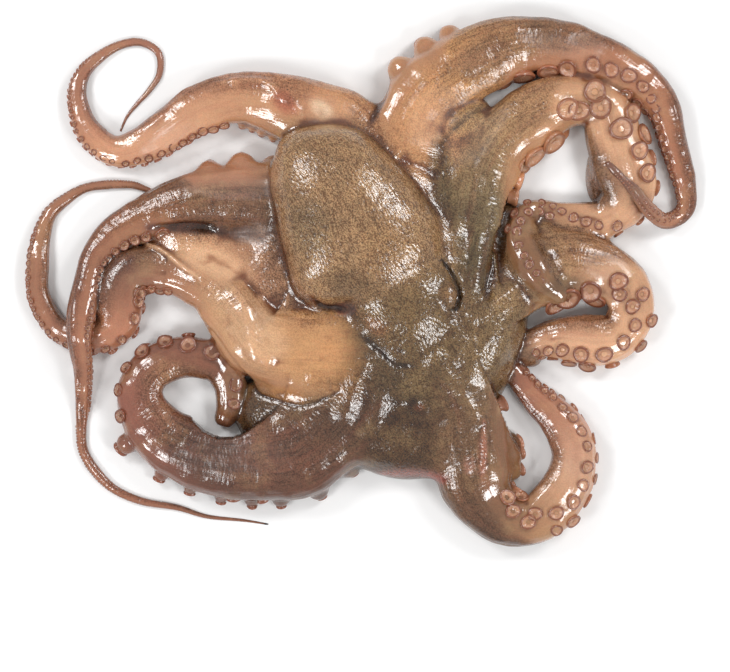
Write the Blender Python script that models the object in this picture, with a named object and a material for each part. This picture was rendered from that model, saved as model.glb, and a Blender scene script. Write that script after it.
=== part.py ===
"""A whole raw octopus laid on its arms, with the mantle flopped over to the upper left.

Flesh of one piece: the mantle, head, web and eight arms with their larger suckers are one closed
solid. Each arm is an oval section carried along a smooth curve, the mantle and head are a section
carried along a shorter one, and everything is fused and settled onto the flat it lies on.
Lengths are in millimetres up to the point where the mesh is made; +Z is up, the flat is z = 0.
"""
import math

import bmesh
import bpy
import numpy as np

MM = 0.001

# Fusing and settling.
VOXEL = 1.8                 # cell of the fused skin
SMOOTH_PASSES = 7           # fillets about 3 mm wide where two forms meet
TRIANGLES = 9700            # faces kept after thinning
REST_BAND = 0.9             # what lies lower than this is flattened onto z = 0
SINK = 1.2                  # how far the soft forms are pressed below z = 0 before that

# Sections. A narrow arm is nearly round, a wide one spreads under its own weight.
ROUND_AT_TIP = 0.90         # height over width of a very thin arm
SPREAD = 0.0053             # how fast that ratio drops with each millimetre of width
SECTION_SIDES = 20
STEP = 3.0                  # spacing of the sections along an arm
THINNEST = 4.6              # narrowest arm end that the fused skin can carry

# Suckers: two rows on each arm's oral side, as short round studs.
ROW_ANGLE = 25.0            # each row's angle to either side of the oral midline
SUCKER_SIDES = 10
SMALLEST_SUCKER = 6.5       # smaller ones are left to the surface finish
SUCKER_GAP = 1.28           # spacing over diameter, within one row
STUD_HEIGHT = 0.25          # height over diameter

# Each arm: its route from the crown to its tip, as (x, y, clearance below the arm, width); the oral
# side's direction, as (place along the arm 0..1, degrees from straight down, positive towards the
# right of travel); sucker diameter over arm width; and the stretch of the arm that carries suckers.
ARMS = {
    "upper_left": {
        "route": [(25, 30, 0, 50), (10, 90, 0, 50), (-12, 121, 0, 50), (-34, 130, 0, 49), (-57, 135, 0, 50),
                  (-80, 141, 0, 43), (-101, 142, 0, 38), (-127, 133, 0, 37), (-148, 120, 0, 34),
                  (-168, 107, 0, 29), (-192, 102, 0, 23), (-212, 117, 0, 20), (-221, 143, 0, 15),
                  (-217, 161, 0, 11.6), (-206, 173, 0, 9.3), (-190, 183, 0, 7), (-173, 186, 0, 6.2),
                  (-159, 178, 0, 5.6), (-158, 162, 0, 4.8), (-166, 149, 0, 4), (-175, 139, 0, 3.2),
                  (-183, 129, 0, 2.2), (-188, 118, 0, 1.4)],
        "oral": [(0, -70), (1, -88)],
        "suckers": (0.26, 0.27, 1.0),
    },
    "upper_outer": {
        "route": [(48, -20, 0, 48), (34, 50, 0, 46), (30, 103, 0, 50), (43, 138, 0, 54), (66, 158, 0, 55),
                  (103, 178, 0, 51), (128, 183, 0, 42), (153, 182, 0, 40), (175, 174, 0, 37),
                  (192, 166, 0, 37), (208, 157, 0, 34), (223, 146, 0, 29), (232, 133, 0, 25),
                  (237, 114, 0, 21.6), (243, 94, 0, 20), (248, 75, 0, 17), (249, 60, 0, 14),
                  (241, 50, 1, 12), (229, 48, 4, 11), (216, 57, 14, 10), (204, 71, 25, 7),
                  (194, 81, 29, 5.4), (185, 90, 29, 3.9)],
        "oral": [(0, 0), (0.22, -70), (0.33, -70), (0.42, 55), (0.50, 75), (0.56, 160), (0.64, 130),
                 (0.72, 95), (0.88, 80), (0.93, -90), (1, -100)],
        "suckers": (0.36, 0.20, 1.0),
    },
    "upper_inner": {
        "route": [(58, -25, 0, 50), (75, 20, 0, 52), (88, 72, 0, 51), (103, 105, 0, 48), (124, 124, 0, 50),
                  (142, 135, 0, 47), (160, 140, 0, 40), (176, 138, 0, 39), (187, 128, 0, 41),
                  (192, 110, 0, 44), (197, 93, 0, 46), (201, 76, 0, 46), (197, 60, 0, 38),
                  (184, 50, 0, 29), (167, 50, 0, 25), (152, 51, 0, 23), (138, 54, 0, 20),
                  (126, 52, 2, 19), (122, 39, 6, 21), (127, 25, 13, 23), (134, 11, 18, 20),
                  (141, -2, 20, 12.4), (148, -10, 20, 4)],
        "oral": [(0, 0), (0.25, 75), (0.40, 100), (0.46, 175), (0.55, 200), (0.62, 260), (0.70, 250),
                 (0.76, 200), (0.86, 120), (1, 95)],
        "suckers": (0.38, 0.28, 1.0),
    },
    "right": {
        "route": [(75, -45, 0, 60), (110, -8, 0, 56), (146, 13, 0, 57), (172, 12, 0, 48), (190, 6, 0, 42),
                  (202, -6, 0, 38), (205, -22, 0, 36), (197, -38, 0, 36), (182, -44, 0, 39),
                  (163, -43, 0, 37), (143, -43, 0, 29), (128, -47, 0, 22), (114, -53, 0, 16)],
        "oral": [(0, 0), (0.35, 85), (0.50, 100), (0.60, 185), (0.72, 235), (1, 255)],
        "suckers": (0.36, 0.32, 1.0),
    },
    "lower_right": {
        "route": [(55, -70, 0, 70), (66, -115, 0, 70), (80, -137, 0, 62), (87, -156, 0, 56), (95, -170, 0, 47),
                  (109, -181, 0, 42), (129, -182, 0, 38), (146, -169, 0, 39), (157, -152, 0, 37),
                  (161, -134, 0, 34), (158, -119, 0, 33), (151, -107, 0, 30), (144, -99, 0, 27),
                  (135, -91, 0, 24), (126, -82, 0, 21), (117, -70, 0, 18), (108, -58, 0, 14)],
        "oral": [(0, 0), (0.18, -95), (0.38, -130), (0.50, -235), (0.58, -255), (1, -275)],
        "suckers": (0.36, 0.12, 0.92),
    },
    "lower_left": {
        "route": [(45, -75, 0, 60), (0, -112, 0, 68), (-49, -131, 0, 70), (-79, -134, 0, 66),
                  (-101, -134, 0, 62), (-127, -130, 0, 55), (-151, -120, 0, 48), (-167, -102, 0, 40),
                  (-172, -85, 0, 35), (-167, -70, 0, 34), (-155, -61, 0, 34), (-138, -57, 0, 32),
                  (-120, -59, 0, 31), (-107, -68, 0, 28), (-101, -82, 0, 29), (-102, -94, 0, 24),
                  (-106, -104, 0, 18)],
        "oral": [(0, -40), (0.25, -72), (0.45, -85), (1, -95)],
        "suckers": (0.28, 0.22, 0.96),
    },
    "left_orange": {
        "route": [(35, -45, 0, 60), (0, -50, 4, 62), (-34, -52, 8, 60), (-76, -48, 10, 54), (-97, -28, 8, 48),
                  (-115, -6, 6, 40), (-138, 7, 3, 37), (-160, 11, 0, 36), (-179, 7, 0, 37), (-188, -8, 0, 38),
                  (-190, -26, 0, 37), (-198, -37, 0, 31), (-214, -41, 0, 25), (-233, -36, 0, 19),
                  (-244, -23, 0, 18), (-251, -6, 0, 17), (-251, 14, 0, 17), (-249, 33, 0, 14.5),
                  (-243, 52, 0, 11), (-232, 63, 0, 9.3), (-216, 73, 0, 7), (-197, 76, 0, 7),
                  (-180, 76, 0, 6), (-172, 74, 0, 5), (-161, 70, 0, 3)],
        "oral": [(0, 0), (0.30, -60), (0.42, -85), (1, -90)],
        "suckers": (0.30, 0.40, 1.0),
    },
    "left_long": {
        "route": [(30, -5, 0, 50), (-10, 30, 0, 54), (-50, 57, 0, 54), (-79, 65, 0, 54), (-104, 65, 0, 49),
                  (-130, 62, 0, 45), (-153, 56, 0, 39), (-170, 49, 0, 34), (-190, 38, 1, 28),
                  (-204, 24, 3, 23.5), (-210, 10, 6, 21), (-214, -8, 11, 21), (-216, -25, 16, 21),
                  (-217, -44, 19, 18), (-216, -60, 13, 15.5), (-216, -75, 5, 14), (-217, -94, 0, 11.6),
                  (-218, -113, 0, 8), (-216, -130, 0, 7.7), (-206, -146, 0, 7.7), (-192, -159, 0, 6.6),
                  (-171, -168, 0, 5.8), (-144, -173, 0, 4.4), (-121, -180, 0, 3), (-93, -183, 0, 2),
                  (-74, -186, 0, 1)],
        "oral": [(0, 60), (0.26, 85), (0.35, -70), (0.66, -90), (0.73, 90), (1, 90)],
        "suckers": (0.27, 0.15, 1.0),
    },
}

# Mantle and head: (x, y, underside, top, width), from the blunt end of the mantle to the brow.
MANTLE = [(-50, 114, 12, 34, 28), (-42, 104, 8, 48, 60), (-32, 91, 2, 58, 87), (-23, 74, 0, 64, 101),
          (-14, 56, 0, 67, 111), (-7, 42, 0, 68, 118), (1, 21, 0, 67, 119), (9, 8, 0, 63, 108),
          (22, -3, 0, 57, 88), (34, -22, 0, 54, 74), (46, -42, 0, 47, 54)]

# Rounded forms, each (x, y, z, half length, half width, half height, turn in degrees).
CROWN = (52, -68, 0, 66, 60, 42, -60)
BROW_LEFT = (13, -34, 34, 20, 13, 12, -35)
EYE_RIGHT = (62, -11, 38, 13, 10, 13, -70)
FILL_UNDER_MANTLE = (5, 20, 0, 70, 55, 45, -55)
WEB_RIGHT = (84, -54, 0, 32, 46, 30, 10)
WEB_LOWER_LEFT = (-35, -92, 0, 62, 42, 34, 20)
WEB_BOTTOM = (28, -124, 0, 40, 26, 32, -14)
WEB_UPPER = (66, 100, 0, 44, 40, 30, -70)
WEB_UPPER_RIGHT = (112, 38, 0, 22, 26, 22, 0)
WEB_INNER_RIGHT = (66, 45, 0, 40, 30, 32, 70)
WEB_LEFT = (-64, 2, 0, 42, 40, 30, 0)
MEMBRANE_LEFT = (-120, 32, 0, 48, 22, 24, -12)


def smooth_curve(points, step):
    """Catmull-Rom curve through the points, read every step: rows of the same values."""
    points = np.array(points, dtype=float)
    ends = np.vstack([2 * points[0] - points[1], points, 2 * points[-1] - points[-2]])
    rows = []
    for i in range(1, len(ends) - 2):
        a, b, c, d = ends[i - 1:i + 3]
        count = max(1, int(round(np.linalg.norm(c[:2] - b[:2]) / step)))
        t = (np.arange(count) / count)[:, None]
        rows.append(0.5 * (2 * b + (c - a) * t + (2 * a - 5 * b + 4 * c - d) * t ** 2
                           + (3 * b - a - 3 * c + d) * t ** 3))
    return np.vstack(rows + [points[-1:]])


def height_of(width):
    """Height of an arm that lies on a flat, from its width."""
    return width * (ROUND_AT_TIP - SPREAD * width)


def sweep_frame(centres):
    """Unit vectors of a path: along it, to the right of travel, and up from it."""
    along = np.gradient(centres, axis=0)
    along /= np.linalg.norm(along, axis=1)[:, None]
    right = np.cross(along, (0.0, 0.0, 1.0))
    right /= np.linalg.norm(right, axis=1)[:, None]
    return along, right, np.cross(right, along)


def add_sweep(mesh, centres, half_widths, half_heights):
    """Oval section carried along a path, closed at both ends by smaller and smaller sections."""
    along, right, up = sweep_frame(centres)
    rings = []
    for shrink in (0.45, 0.80):
        push = math.sqrt(1 - shrink ** 2)
        rings.append((centres[0] - along[0] * half_heights[0] * push, 0, shrink))
    rings += [(centre, i, 1.0) for i, centre in enumerate(centres)]
    for shrink in (0.80, 0.45):
        push = math.sqrt(1 - shrink ** 2)
        rings.append((centres[-1] + along[-1] * half_heights[-1] * push, len(centres) - 1, shrink))
    angles = np.arange(SECTION_SIDES) * 2 * math.pi / SECTION_SIDES
    loops = []
    for centre, i, shrink in rings:
        side = half_widths[i] * shrink * np.sin(angles)[:, None] * right[i]
        rise = -half_heights[i] * shrink * np.cos(angles)[:, None] * up[i]
        loops.append([mesh.verts.new(co * MM) for co in centre + side + rise])
    for low, high in zip(loops, loops[1:]):
        for k in range(SECTION_SIDES):
            n = (k + 1) % SECTION_SIDES
            mesh.faces.new((low[k], low[n], high[n], high[k]))
    mesh.faces.new(loops[0][::-1])
    mesh.faces.new(loops[-1])


def add_dome(mesh, dome):
    """Ellipsoid turned about the upright axis."""
    x, y, z, half_length, half_width, half_height, turn = dome
    made = bmesh.ops.create_uvsphere(mesh, u_segments=32, v_segments=20, radius=1.0)["verts"]
    cos_turn = math.cos(math.radians(turn))
    sin_turn = math.sin(math.radians(turn))
    for vert in made:
        u = vert.co.x * half_length
        v = vert.co.y * half_width
        vert.co = ((x + u * cos_turn - v * sin_turn) * MM, (y + u * sin_turn + v * cos_turn) * MM,
                   (z + vert.co.z * half_height) * MM)


def add_stud(mesh, base, outward, along, radius, height):
    """Short round stud with its rim away from the arm: one sucker."""
    across = np.cross(outward, along)
    loops = []
    for reach, flare in ((-height, 0.8), (height * 0.7, 1.0), (height, 0.75)):
        ring = []
        for k in range(SUCKER_SIDES):
            angle = 2 * math.pi * k / SUCKER_SIDES
            offset = radius * flare * (math.cos(angle) * along + math.sin(angle) * across)
            ring.append(mesh.verts.new((base + outward * reach + offset) * MM))
        loops.append(ring)
    for low, high in zip(loops, loops[1:]):
        for k in range(SUCKER_SIDES):
            n = (k + 1) % SUCKER_SIDES
            mesh.faces.new((low[k], low[n], high[n], high[k]))
    mesh.faces.new(loops[0][::-1])
    mesh.faces.new(loops[-1])


def add_arm(mesh, arm):
    """One arm's flesh and its two rows of larger suckers."""
    rows = smooth_curve(arm["route"], STEP)
    width = np.maximum(rows[:, 3], THINNEST)
    height = height_of(width)
    centres = rows[:, :3].copy()
    centres[:, 2] = rows[:, 2] + height / 2
    centres[rows[:, 2] < 1, 2] -= SINK
    add_sweep(mesh, centres, width / 2, height / 2)

    along, right, up = sweep_frame(centres)
    travelled = np.concatenate([[0], np.cumsum(np.linalg.norm(np.diff(centres, axis=0), axis=1))])
    place = travelled / travelled[-1]
    oral = np.radians(np.interp(place, *zip(*arm["oral"])))
    ratio, first, last = arm["suckers"]
    for side in (-1, 1):
        reach = first * travelled[-1]
        if side > 0:
            reach += ratio * np.interp(reach, travelled, width) * SUCKER_GAP / 2
        while reach < last * travelled[-1]:
            i = int(np.searchsorted(travelled, reach))
            diameter = ratio * width[i]
            if diameter < SMALLEST_SUCKER:
                break
            angle = oral[i] + side * math.radians(ROW_ANGLE)
            outward = math.sin(angle) * right[i] - math.cos(angle) * up[i]
            reach_side = width[i] / 2 * math.sin(angle) * right[i]
            reach_up = -height[i] / 2 * math.cos(angle) * up[i]
            base = centres[i] + reach_side + reach_up
            if base[2] > diameter * 0.3:
                add_stud(mesh, base, outward, along[i], diameter / 2, diameter * STUD_HEIGHT)
            reach += diameter * SUCKER_GAP


def add_mantle(mesh):
    """Mantle sac running into the head, broad and low where it lies on the arms."""
    rows = smooth_curve(MANTLE, STEP)
    centres = np.column_stack([rows[:, 0], rows[:, 1], (rows[:, 2] + rows[:, 3]) / 2])
    add_sweep(mesh, centres, rows[:, 4] / 2, (rows[:, 3] - rows[:, 2]) / 2)


def rough_forms():
    """All the forms in one mesh, still overlapping."""
    mesh = bmesh.new()
    for arm in ARMS.values():
        add_arm(mesh, arm)
    add_mantle(mesh)
    for dome in (CROWN, BROW_LEFT, EYE_RIGHT, FILL_UNDER_MANTLE, WEB_RIGHT, WEB_LOWER_LEFT, WEB_BOTTOM,
                 WEB_UPPER, WEB_UPPER_RIGHT, WEB_INNER_RIGHT, WEB_LEFT, MEMBRANE_LEFT):
        add_dome(mesh, dome)
    low = bmesh.ops.bisect_plane(mesh, geom=mesh.verts[:] + mesh.edges[:] + mesh.faces[:],
                                 plane_co=(0, 0, -SINK * MM), plane_no=(0, 0, -1), clear_outer=True)
    edges = [item for item in low["geom_cut"] if isinstance(item, bmesh.types.BMEdge)]
    bmesh.ops.edgeloop_fill(mesh, edges=edges)
    made = bpy.data.meshes.new("rough_forms")
    mesh.to_mesh(made)
    mesh.free()
    return made


def evaluated(piece):
    """The piece's mesh with its modifiers worked in."""
    bpy.context.view_layer.update()
    depsgraph = bpy.context.evaluated_depsgraph_get()
    return bpy.data.meshes.new_from_object(piece.evaluated_get(depsgraph))


def fuse(piece):
    """One closed skin over all the forms, with soft fillets, thinned to the face budget."""
    remesh = piece.modifiers.new("fused skin", "REMESH")
    remesh.mode = "VOXEL"
    remesh.voxel_size = VOXEL * MM
    relax = piece.modifiers.new("fillets", "SMOOTH")
    relax.factor = 0.5
    relax.iterations = SMOOTH_PASSES
    piece.data = evaluated(piece)
    piece.modifiers.clear()

    settle(piece.data)
    drop_crumbs(piece.data)
    thin = piece.modifiers.new("thinned", "DECIMATE")
    thin.ratio = TRIANGLES / sum(len(face.vertices) - 2 for face in piece.data.polygons)
    piece.data = evaluated(piece)
    piece.modifiers.clear()
    settle(piece.data)
    centre_footprint(piece.data)


def drop_crumbs(data):
    """Keep the largest closed body, without specks left where thin tips ended."""
    mesh = bmesh.new()
    mesh.from_mesh(data)
    unseen = set(mesh.verts)
    bodies = []
    while unseen:
        body = []
        edge_of_body = [unseen.pop()]
        while edge_of_body:
            vert = edge_of_body.pop()
            body.append(vert)
            for edge in vert.link_edges:
                other = edge.other_vert(vert)
                if other in unseen:
                    unseen.discard(other)
                    edge_of_body.append(other)
        bodies.append(body)
    for body in sorted(bodies, key=len)[:-1]:
        bmesh.ops.delete(mesh, geom=body, context="VERTS")
    mesh.to_mesh(data)
    mesh.free()


def settle(mesh):
    """Press the underside flat onto z = 0."""
    coords = np.empty(len(mesh.vertices) * 3)
    mesh.vertices.foreach_get("co", coords)
    coords = coords.reshape(-1, 3)
    coords[coords[:, 2] < REST_BAND * MM, 2] = 0.0
    mesh.vertices.foreach_set("co", coords.ravel())
    mesh.update()


def centre_footprint(mesh):
    """Bring the middle of the footprint onto the origin, a shift of 1 or 2 mm."""
    coords = np.empty(len(mesh.vertices) * 3)
    mesh.vertices.foreach_get("co", coords)
    coords = coords.reshape(-1, 3)
    coords[:, :2] -= (coords[:, :2].min(axis=0) + coords[:, :2].max(axis=0)) / 2
    mesh.vertices.foreach_set("co", coords.ravel())
    mesh.update()


def flesh():
    """Wet olive-brown octopus skin."""
    material = bpy.data.materials.new("octopus skin")
    material.use_nodes = True
    shader = material.node_tree.nodes["Principled BSDF"]
    shader.inputs["Base Color"].default_value = (0.26, 0.16, 0.10, 1.0)
    shader.inputs["Roughness"].default_value = 0.3
    shader.inputs["Metallic"].default_value = 0.0
    return material


for leftover in list(bpy.data.objects):
    bpy.data.objects.remove(leftover, do_unlink=True)

octopus = bpy.data.objects.new("octopus", rough_forms())
bpy.context.scene.collection.objects.link(octopus)
fuse(octopus)
octopus.data.materials.append(flesh())
octopus.data.shade_smooth()
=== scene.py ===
import bpy
import numpy as np
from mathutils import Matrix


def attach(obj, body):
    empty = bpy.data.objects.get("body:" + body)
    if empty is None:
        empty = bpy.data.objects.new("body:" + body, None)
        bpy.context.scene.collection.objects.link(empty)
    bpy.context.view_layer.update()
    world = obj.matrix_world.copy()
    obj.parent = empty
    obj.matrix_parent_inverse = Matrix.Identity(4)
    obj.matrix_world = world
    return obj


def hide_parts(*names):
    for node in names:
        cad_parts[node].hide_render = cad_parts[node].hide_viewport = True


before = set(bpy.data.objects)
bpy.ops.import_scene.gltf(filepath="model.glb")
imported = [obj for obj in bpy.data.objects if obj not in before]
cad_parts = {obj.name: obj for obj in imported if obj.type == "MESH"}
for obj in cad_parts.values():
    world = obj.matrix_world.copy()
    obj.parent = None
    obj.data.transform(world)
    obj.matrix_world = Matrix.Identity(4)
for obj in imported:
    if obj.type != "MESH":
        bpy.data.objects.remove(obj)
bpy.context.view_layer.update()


# The flesh. Mantle, head, web and eight arms are one body under one skin, so they are made as one
# closed surface. Every form is a soft solid told by a formula, forms that grow into each other are
# blended, and forms that only lie on each other keep a crease. Lengths are millimetres here.
MM = 0.001
CENTRING = np.array([1.5, -0.4, 0.0])      # from the routes' own middle to the middle of the footprint
CELL = 1.45                                # grid spacing of the skin
SKIN_TRIANGLES = 192000

# Route from the crown to the tip as (x, y, clearance below, width); where the oral side faces, as
# (place 0..1, degrees from straight down, positive to the right of travel); skin colours along the
# back and the flanks, as (place, red, green, blue).
ARMS = {
    "upper_left": {
        "route": [(25, 30, 0, 50), (10, 90, 0, 50), (-12, 121, 0, 50), (-34, 130, 0, 49), (-57, 135, 0, 50),
                  (-80, 141, 0, 43), (-101, 142, 0, 38), (-127, 133, 0, 37), (-148, 120, 0, 34),
                  (-168, 107, 0, 29), (-192, 102, 0, 23), (-212, 117, 0, 20), (-221, 143, 0, 15),
                  (-217, 161, 0, 11.6), (-206, 173, 0, 9.3), (-190, 183, 0, 7), (-173, 186, 0, 6.2),
                  (-159, 178, 0, 5.6), (-158, 162, 0, 4.8), (-166, 149, 0, 4), (-175, 139, 0, 3.2),
                  (-183, 129, 0, 2.2), (-188, 118, 0, 1.4)],
        "oral": [(0, -66), (0.3, -68), (0.38, -72), (0.44, -86), (0.53, -98), (0.65, -104), (1, -108)],
        "suckers": (0.20, 1.0), "cup_size": [(0.2, 0.26), (0.35, 0.25), (0.42, 0.23), (1, 0.25)],
        "cups": [(0.2, 205, 140, 110), (0.7, 190, 126, 100), (1, 180, 120, 98)],
        "rims": [(0.33, 0.0), (0.42, 1), (1, 1)],
        "bare": [(0.25, 0.2), (0.33, 0.55), (0.6, 0.5), (0.75, 0.3)],
        "lobes": [(0.285, 4.5, 0), (0.305, 4.0, 0), (0.325, 4.5, 0), (0.345, 4.0, 0), (0.365, 4.0, 0)],
        "lobe_dip": 0.95,
        "back": [(0.2, 220, 166, 126), (0.34, 208, 150, 120), (0.42, 194, 140, 114), (0.6, 180, 126, 104),
                 (0.7, 160, 110, 94), (0.85, 166, 114, 94), (1, 160, 108, 92)],
        "flank": [(0.2, 208, 158, 124), (0.4, 222, 172, 140), (0.5, 228, 178, 150), (0.6, 222, 166, 138), (0.7, 176, 126, 106),
                  (1, 172, 120, 104)],
    },
    "upper_outer": {
        "route": [(48, -20, 0, 48), (34, 50, 0, 46), (30, 103, 0, 50), (43, 138, 0, 54), (66, 158, 0, 55),
                  (103, 178, 0, 51), (128, 183, 0, 42), (153, 182, 0, 40), (175, 174, 0, 37),
                  (192, 166, 0, 37), (208, 157, 0, 34), (223, 146, 0, 29), (232, 133, 0, 25),
                  (237, 114, 0, 21.6), (243, 94, 0, 20), (248, 75, 0, 17), (249, 60, 0, 14),
                  (241, 50, 2, 12.6), (229, 48, 8, 12), (216, 57, 20, 10.6), (204, 71, 31, 8),
                  (194, 81, 35, 6), (185, 90, 35, 4.6)],
        "oral": [(0, 0), (0.15, -60), (0.36, -64), (0.40, 0), (0.44, 62), (0.53, 78), (0.575, 120), (0.62, 150),
                 (0.67, 130), (0.72, 100), (0.84, 84), (0.90, 180), (1, 200)],
        "suckers": (0.13, 1.0), "cup_size": [(0.2, 0.42), (0.38, 0.42), (0.44, 0.46), (0.50, 0.42), (0.58, 0.34), (0.8, 0.30), (1, 0.30)],
        "cups": [(0.2, 214, 156, 120), (0.5, 200, 134, 104), (0.7, 186, 120, 94), (1, 166, 108, 84)],
        "rims": [(0.36, 0), (0.45, 0.8), (1, 1)],
        "lobes": [(0.315, 9.5, 1), (0.35, 9.5, 1), (0.385, 8.0, 1)],
        "lobe_dip": 0.95,
        "back": [(0.2, 240, 186, 140), (0.3, 234, 178, 132), (0.37, 232, 180, 128), (0.42, 196, 150, 110),
                 (0.5, 166, 125, 97), (0.62, 156, 106, 84), (1, 140, 94, 76)],
        "flank": [(0.3, 200, 152, 118), (0.6, 192, 136, 108), (0.8, 178, 124, 100), (0.88, 190, 140, 116),
                  (0.95, 130, 94, 84), (1, 128, 92, 82)],
    },
    "upper_inner": {
        "route": [(58, -25, 2, 42), (78, 14, 2, 46), (88, 50, 0, 50), (91, 76, 0, 51), (103, 105, 0, 48), (124, 124, 0, 50),
                  (142, 135, 0, 47), (160, 140, 0, 40), (176, 138, 0, 39), (187, 128, 0, 41),
                  (192, 110, 0, 44), (197, 93, 0, 46), (201, 76, 0, 46), (197, 60, 0, 38),
                  (184, 50, 0, 29), (167, 50, 0, 25), (152, 51, 0, 23), (138, 54, 0, 20),
                  (126, 52, 5, 20), (119, 39, 14, 19), (122, 25, 22, 18), (130, 11, 28, 16),
                  (139, -1, 29, 12), (149, -10, 27, 5)],
        "oral": [(0, 0), (0.25, 62), (0.40, 74), (0.43, 118), (0.455, 165), (0.50, 196), (0.55, 230), (0.60, 254),
                 (0.68, 262), (0.73, 235), (0.78, 182), (0.82, 150), (0.86, 134), (1, 136)],
        "suckers": (0.20, 1.0), "cup_size": [(0.2, 0.30), (0.38, 0.38), (0.42, 0.46), (0.50, 0.46), (0.56, 0.38), (0.64, 0.30), (0.78, 0.32),
                                                (0.86, 0.42), (1, 0.40)],
        "cups": [(0.2, 214, 158, 122), (0.6, 214, 156, 120), (0.78, 184, 124, 94), (0.84, 158, 92, 64), (1, 150, 84, 58)],
        "rims": [(0.33, 0.1), (0.5, 0.7), (0.65, 1), (1, 1)],
        "bare": [(0.4, 0.0), (0.5, 0.2), (1, 0.2)],
        "back": [(0.1, 106, 92, 64), (0.2, 150, 134, 104), (0.32, 196, 162, 124), (0.42, 204, 160, 124),
                 (0.6, 148, 114, 94), (0.75, 160, 120, 94), (0.86, 140, 104, 78), (1, 132, 98, 74)],
        "flank": [(0.3, 206, 160, 124), (0.5, 234, 188, 156), (0.66, 240, 194, 164), (0.76, 218, 172, 142),
                  (0.83, 160, 120, 92), (1, 132, 96, 70)],
    },
    "right": {
        "route": [(56, -44, 2, 40), (78, -32, 2, 44), (104, -14, 0, 46), (124, 0, 0, 50), (148, 13, 0, 54), (172, 12, 0, 48), (190, 6, 0, 42),
                  (202, -6, 0, 38), (205, -22, 0, 36), (197, -38, 0, 36), (182, -44, 0, 39),
                  (163, -43, 0, 37), (143, -43, 0, 29), (128, -47, 0, 22), (114, -53, 0, 16)],
        "oral": [(0, 0), (0.28, 66), (0.42, 80), (0.49, 104), (0.56, 160), (0.61, 196), (0.66, 226), (0.72, 244),
                 (1, 250)],
        "suckers": (0.28, 1.0), "cup_size": [(0.3, 0.40), (0.52, 0.38), (0.65, 0.31), (1, 0.36)],
        "cups": [(0.2, 196, 134, 100), (0.5, 176, 112, 82), (0.6, 190, 128, 96), (1, 184, 124, 92)],
        "rims": [(0.3, 1), (1, 0.8)],
        "back": [(0.1, 144, 118, 88), (0.3, 168, 138, 104), (0.42, 190, 148, 114), (0.52, 196, 150, 118),
                 (1, 176, 130, 104)],
        "flank": [(0.2, 150, 115, 88), (0.5, 214, 170, 140), (0.75, 240, 194, 164), (0.85, 236, 190, 162),
                  (0.93, 226, 180, 152), (1, 150, 118, 98)],
    },
    "lower_right": {
        "route": [(48, -40, 2, 44), (70, -72, 2, 50), (80, -100, 0, 56), (80, -125, 0, 62), (84, -145, 0, 58),
                  (87, -157, 0, 55), (95, -170, 0, 47),
                  (109, -181, 0, 42), (129, -182, 0, 38), (146, -169, 0, 39), (157, -152, 0, 37),
                  (161, -134, 0, 34), (158, -119, 0, 33), (151, -107, 0, 30), (144, -99, 0, 27),
                  (135, -91, 0, 24), (126, -82, 0, 21), (117, -70, 0, 18), (108, -58, 0, 14)],
        "oral": [(0, 0), (0.14, -54), (0.33, -62), (0.38, -92), (0.46, -104), (0.52, -140), (0.57, -214),
                 (0.63, -246), (1, -258)],
        "suckers": (0.20, 0.95), "cup_size": [(0.15, 0.22), (0.32, 0.23), (0.4, 0.29), (0.7, 0.29), (1, 0.26)],
        "cups": [(0.1, 190, 130, 104), (0.5, 206, 148, 116), (1, 190, 132, 106)],
        "rims": [(0.3, 0.2), (0.4, 0.7), (1, 1)],
        "lobes": [(0.262, 6.5, 2), (0.290, 7.0, 3), (0.322, 7.5, 3), (0.355, 7.0, 2)],
        "bare": [(0.5, 0.0), (0.6, 0.3), (1, 0.3)],
        "back": [(0.05, 128, 104, 78), (0.2, 144, 114, 88), (0.38, 134, 100, 76), (0.44, 116, 84, 66), (0.53, 112, 80, 62), (0.6, 180, 136, 108),
                 (0.7, 182, 138, 114), (0.85, 156, 106, 90), (1, 140, 88, 74)],
        "flank": [(0.2, 150, 112, 88), (0.36, 148, 110, 84), (0.46, 140, 104, 80), (0.54, 186, 144, 112), (0.62, 212, 168, 140),
                  (0.7, 226, 184, 162), (0.85, 186, 132, 110), (1, 162, 108, 90)],
    },
    "lower_left": {
        "route": [(40, -46, 2, 44), (8, -60, 2, 50), (-7, -84, 0, 58), (-24, -110, 0, 64), (-49, -129, 0, 69),
                  (-79, -134, 0, 66), (-101, -134, 0, 62), (-127, -130, 0, 55), (-151, -120, 0, 48), (-167, -102, 0, 40),
                  (-172, -85, 0, 35), (-167, -70, 0, 34), (-155, -61, 0, 34), (-138, -57, 0, 32),
                  (-120, -59, 0, 31), (-109, -66, 0, 28), (-103, -79, 0, 25), (-103, -92, 0, 22),
                  (-107, -103, 0, 16)],
        "oral": [(0, -30), (0.2, -42), (0.45, -45), (0.55, -64), (0.62, -82), (0.78, -88), (0.85, -120),
                 (1, -130)],
        "suckers": (0.16, 0.99), "cup_size": [(0.2, 0.21), (0.45, 0.22), (0.52, 0.34), (0.7, 0.28), (0.84, 0.40), (1, 0.44)],
        "cups": [(0.1, 146, 88, 66), (0.6, 146, 80, 58), (0.85, 130, 66, 48), (1, 120, 60, 44)],
        "rims": [(0.2, 0.5), (0.5, 1), (1, 1)],
        "lobes": [(0.27, 5.5, 0), (0.32, 5.5, 0), (0.37, 5.5, 0), (0.42, 5.5, 0), (0.47, 5.5, 0),
                  (0.52, 5.5, 0), (0.57, 6.0, 0), (0.63, 8.0, 3)],
        "back": [(0.1, 104, 82, 60), (0.22, 112, 82, 64), (0.32, 124, 86, 70), (0.40, 134, 92, 78),
                 (0.48, 112, 76, 64), (0.56, 112, 74, 62), (0.62, 156, 108, 92), (0.70, 166, 116, 98), (0.78, 172, 126, 100),
                 (0.86, 150, 106, 84), (1, 126, 84, 64)],
        "flank": [(0.2, 92, 58, 42), (0.36, 92, 58, 42), (0.45, 98, 62, 50), (0.6, 144, 96, 84), (1, 136, 90, 70)],
    },
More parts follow.
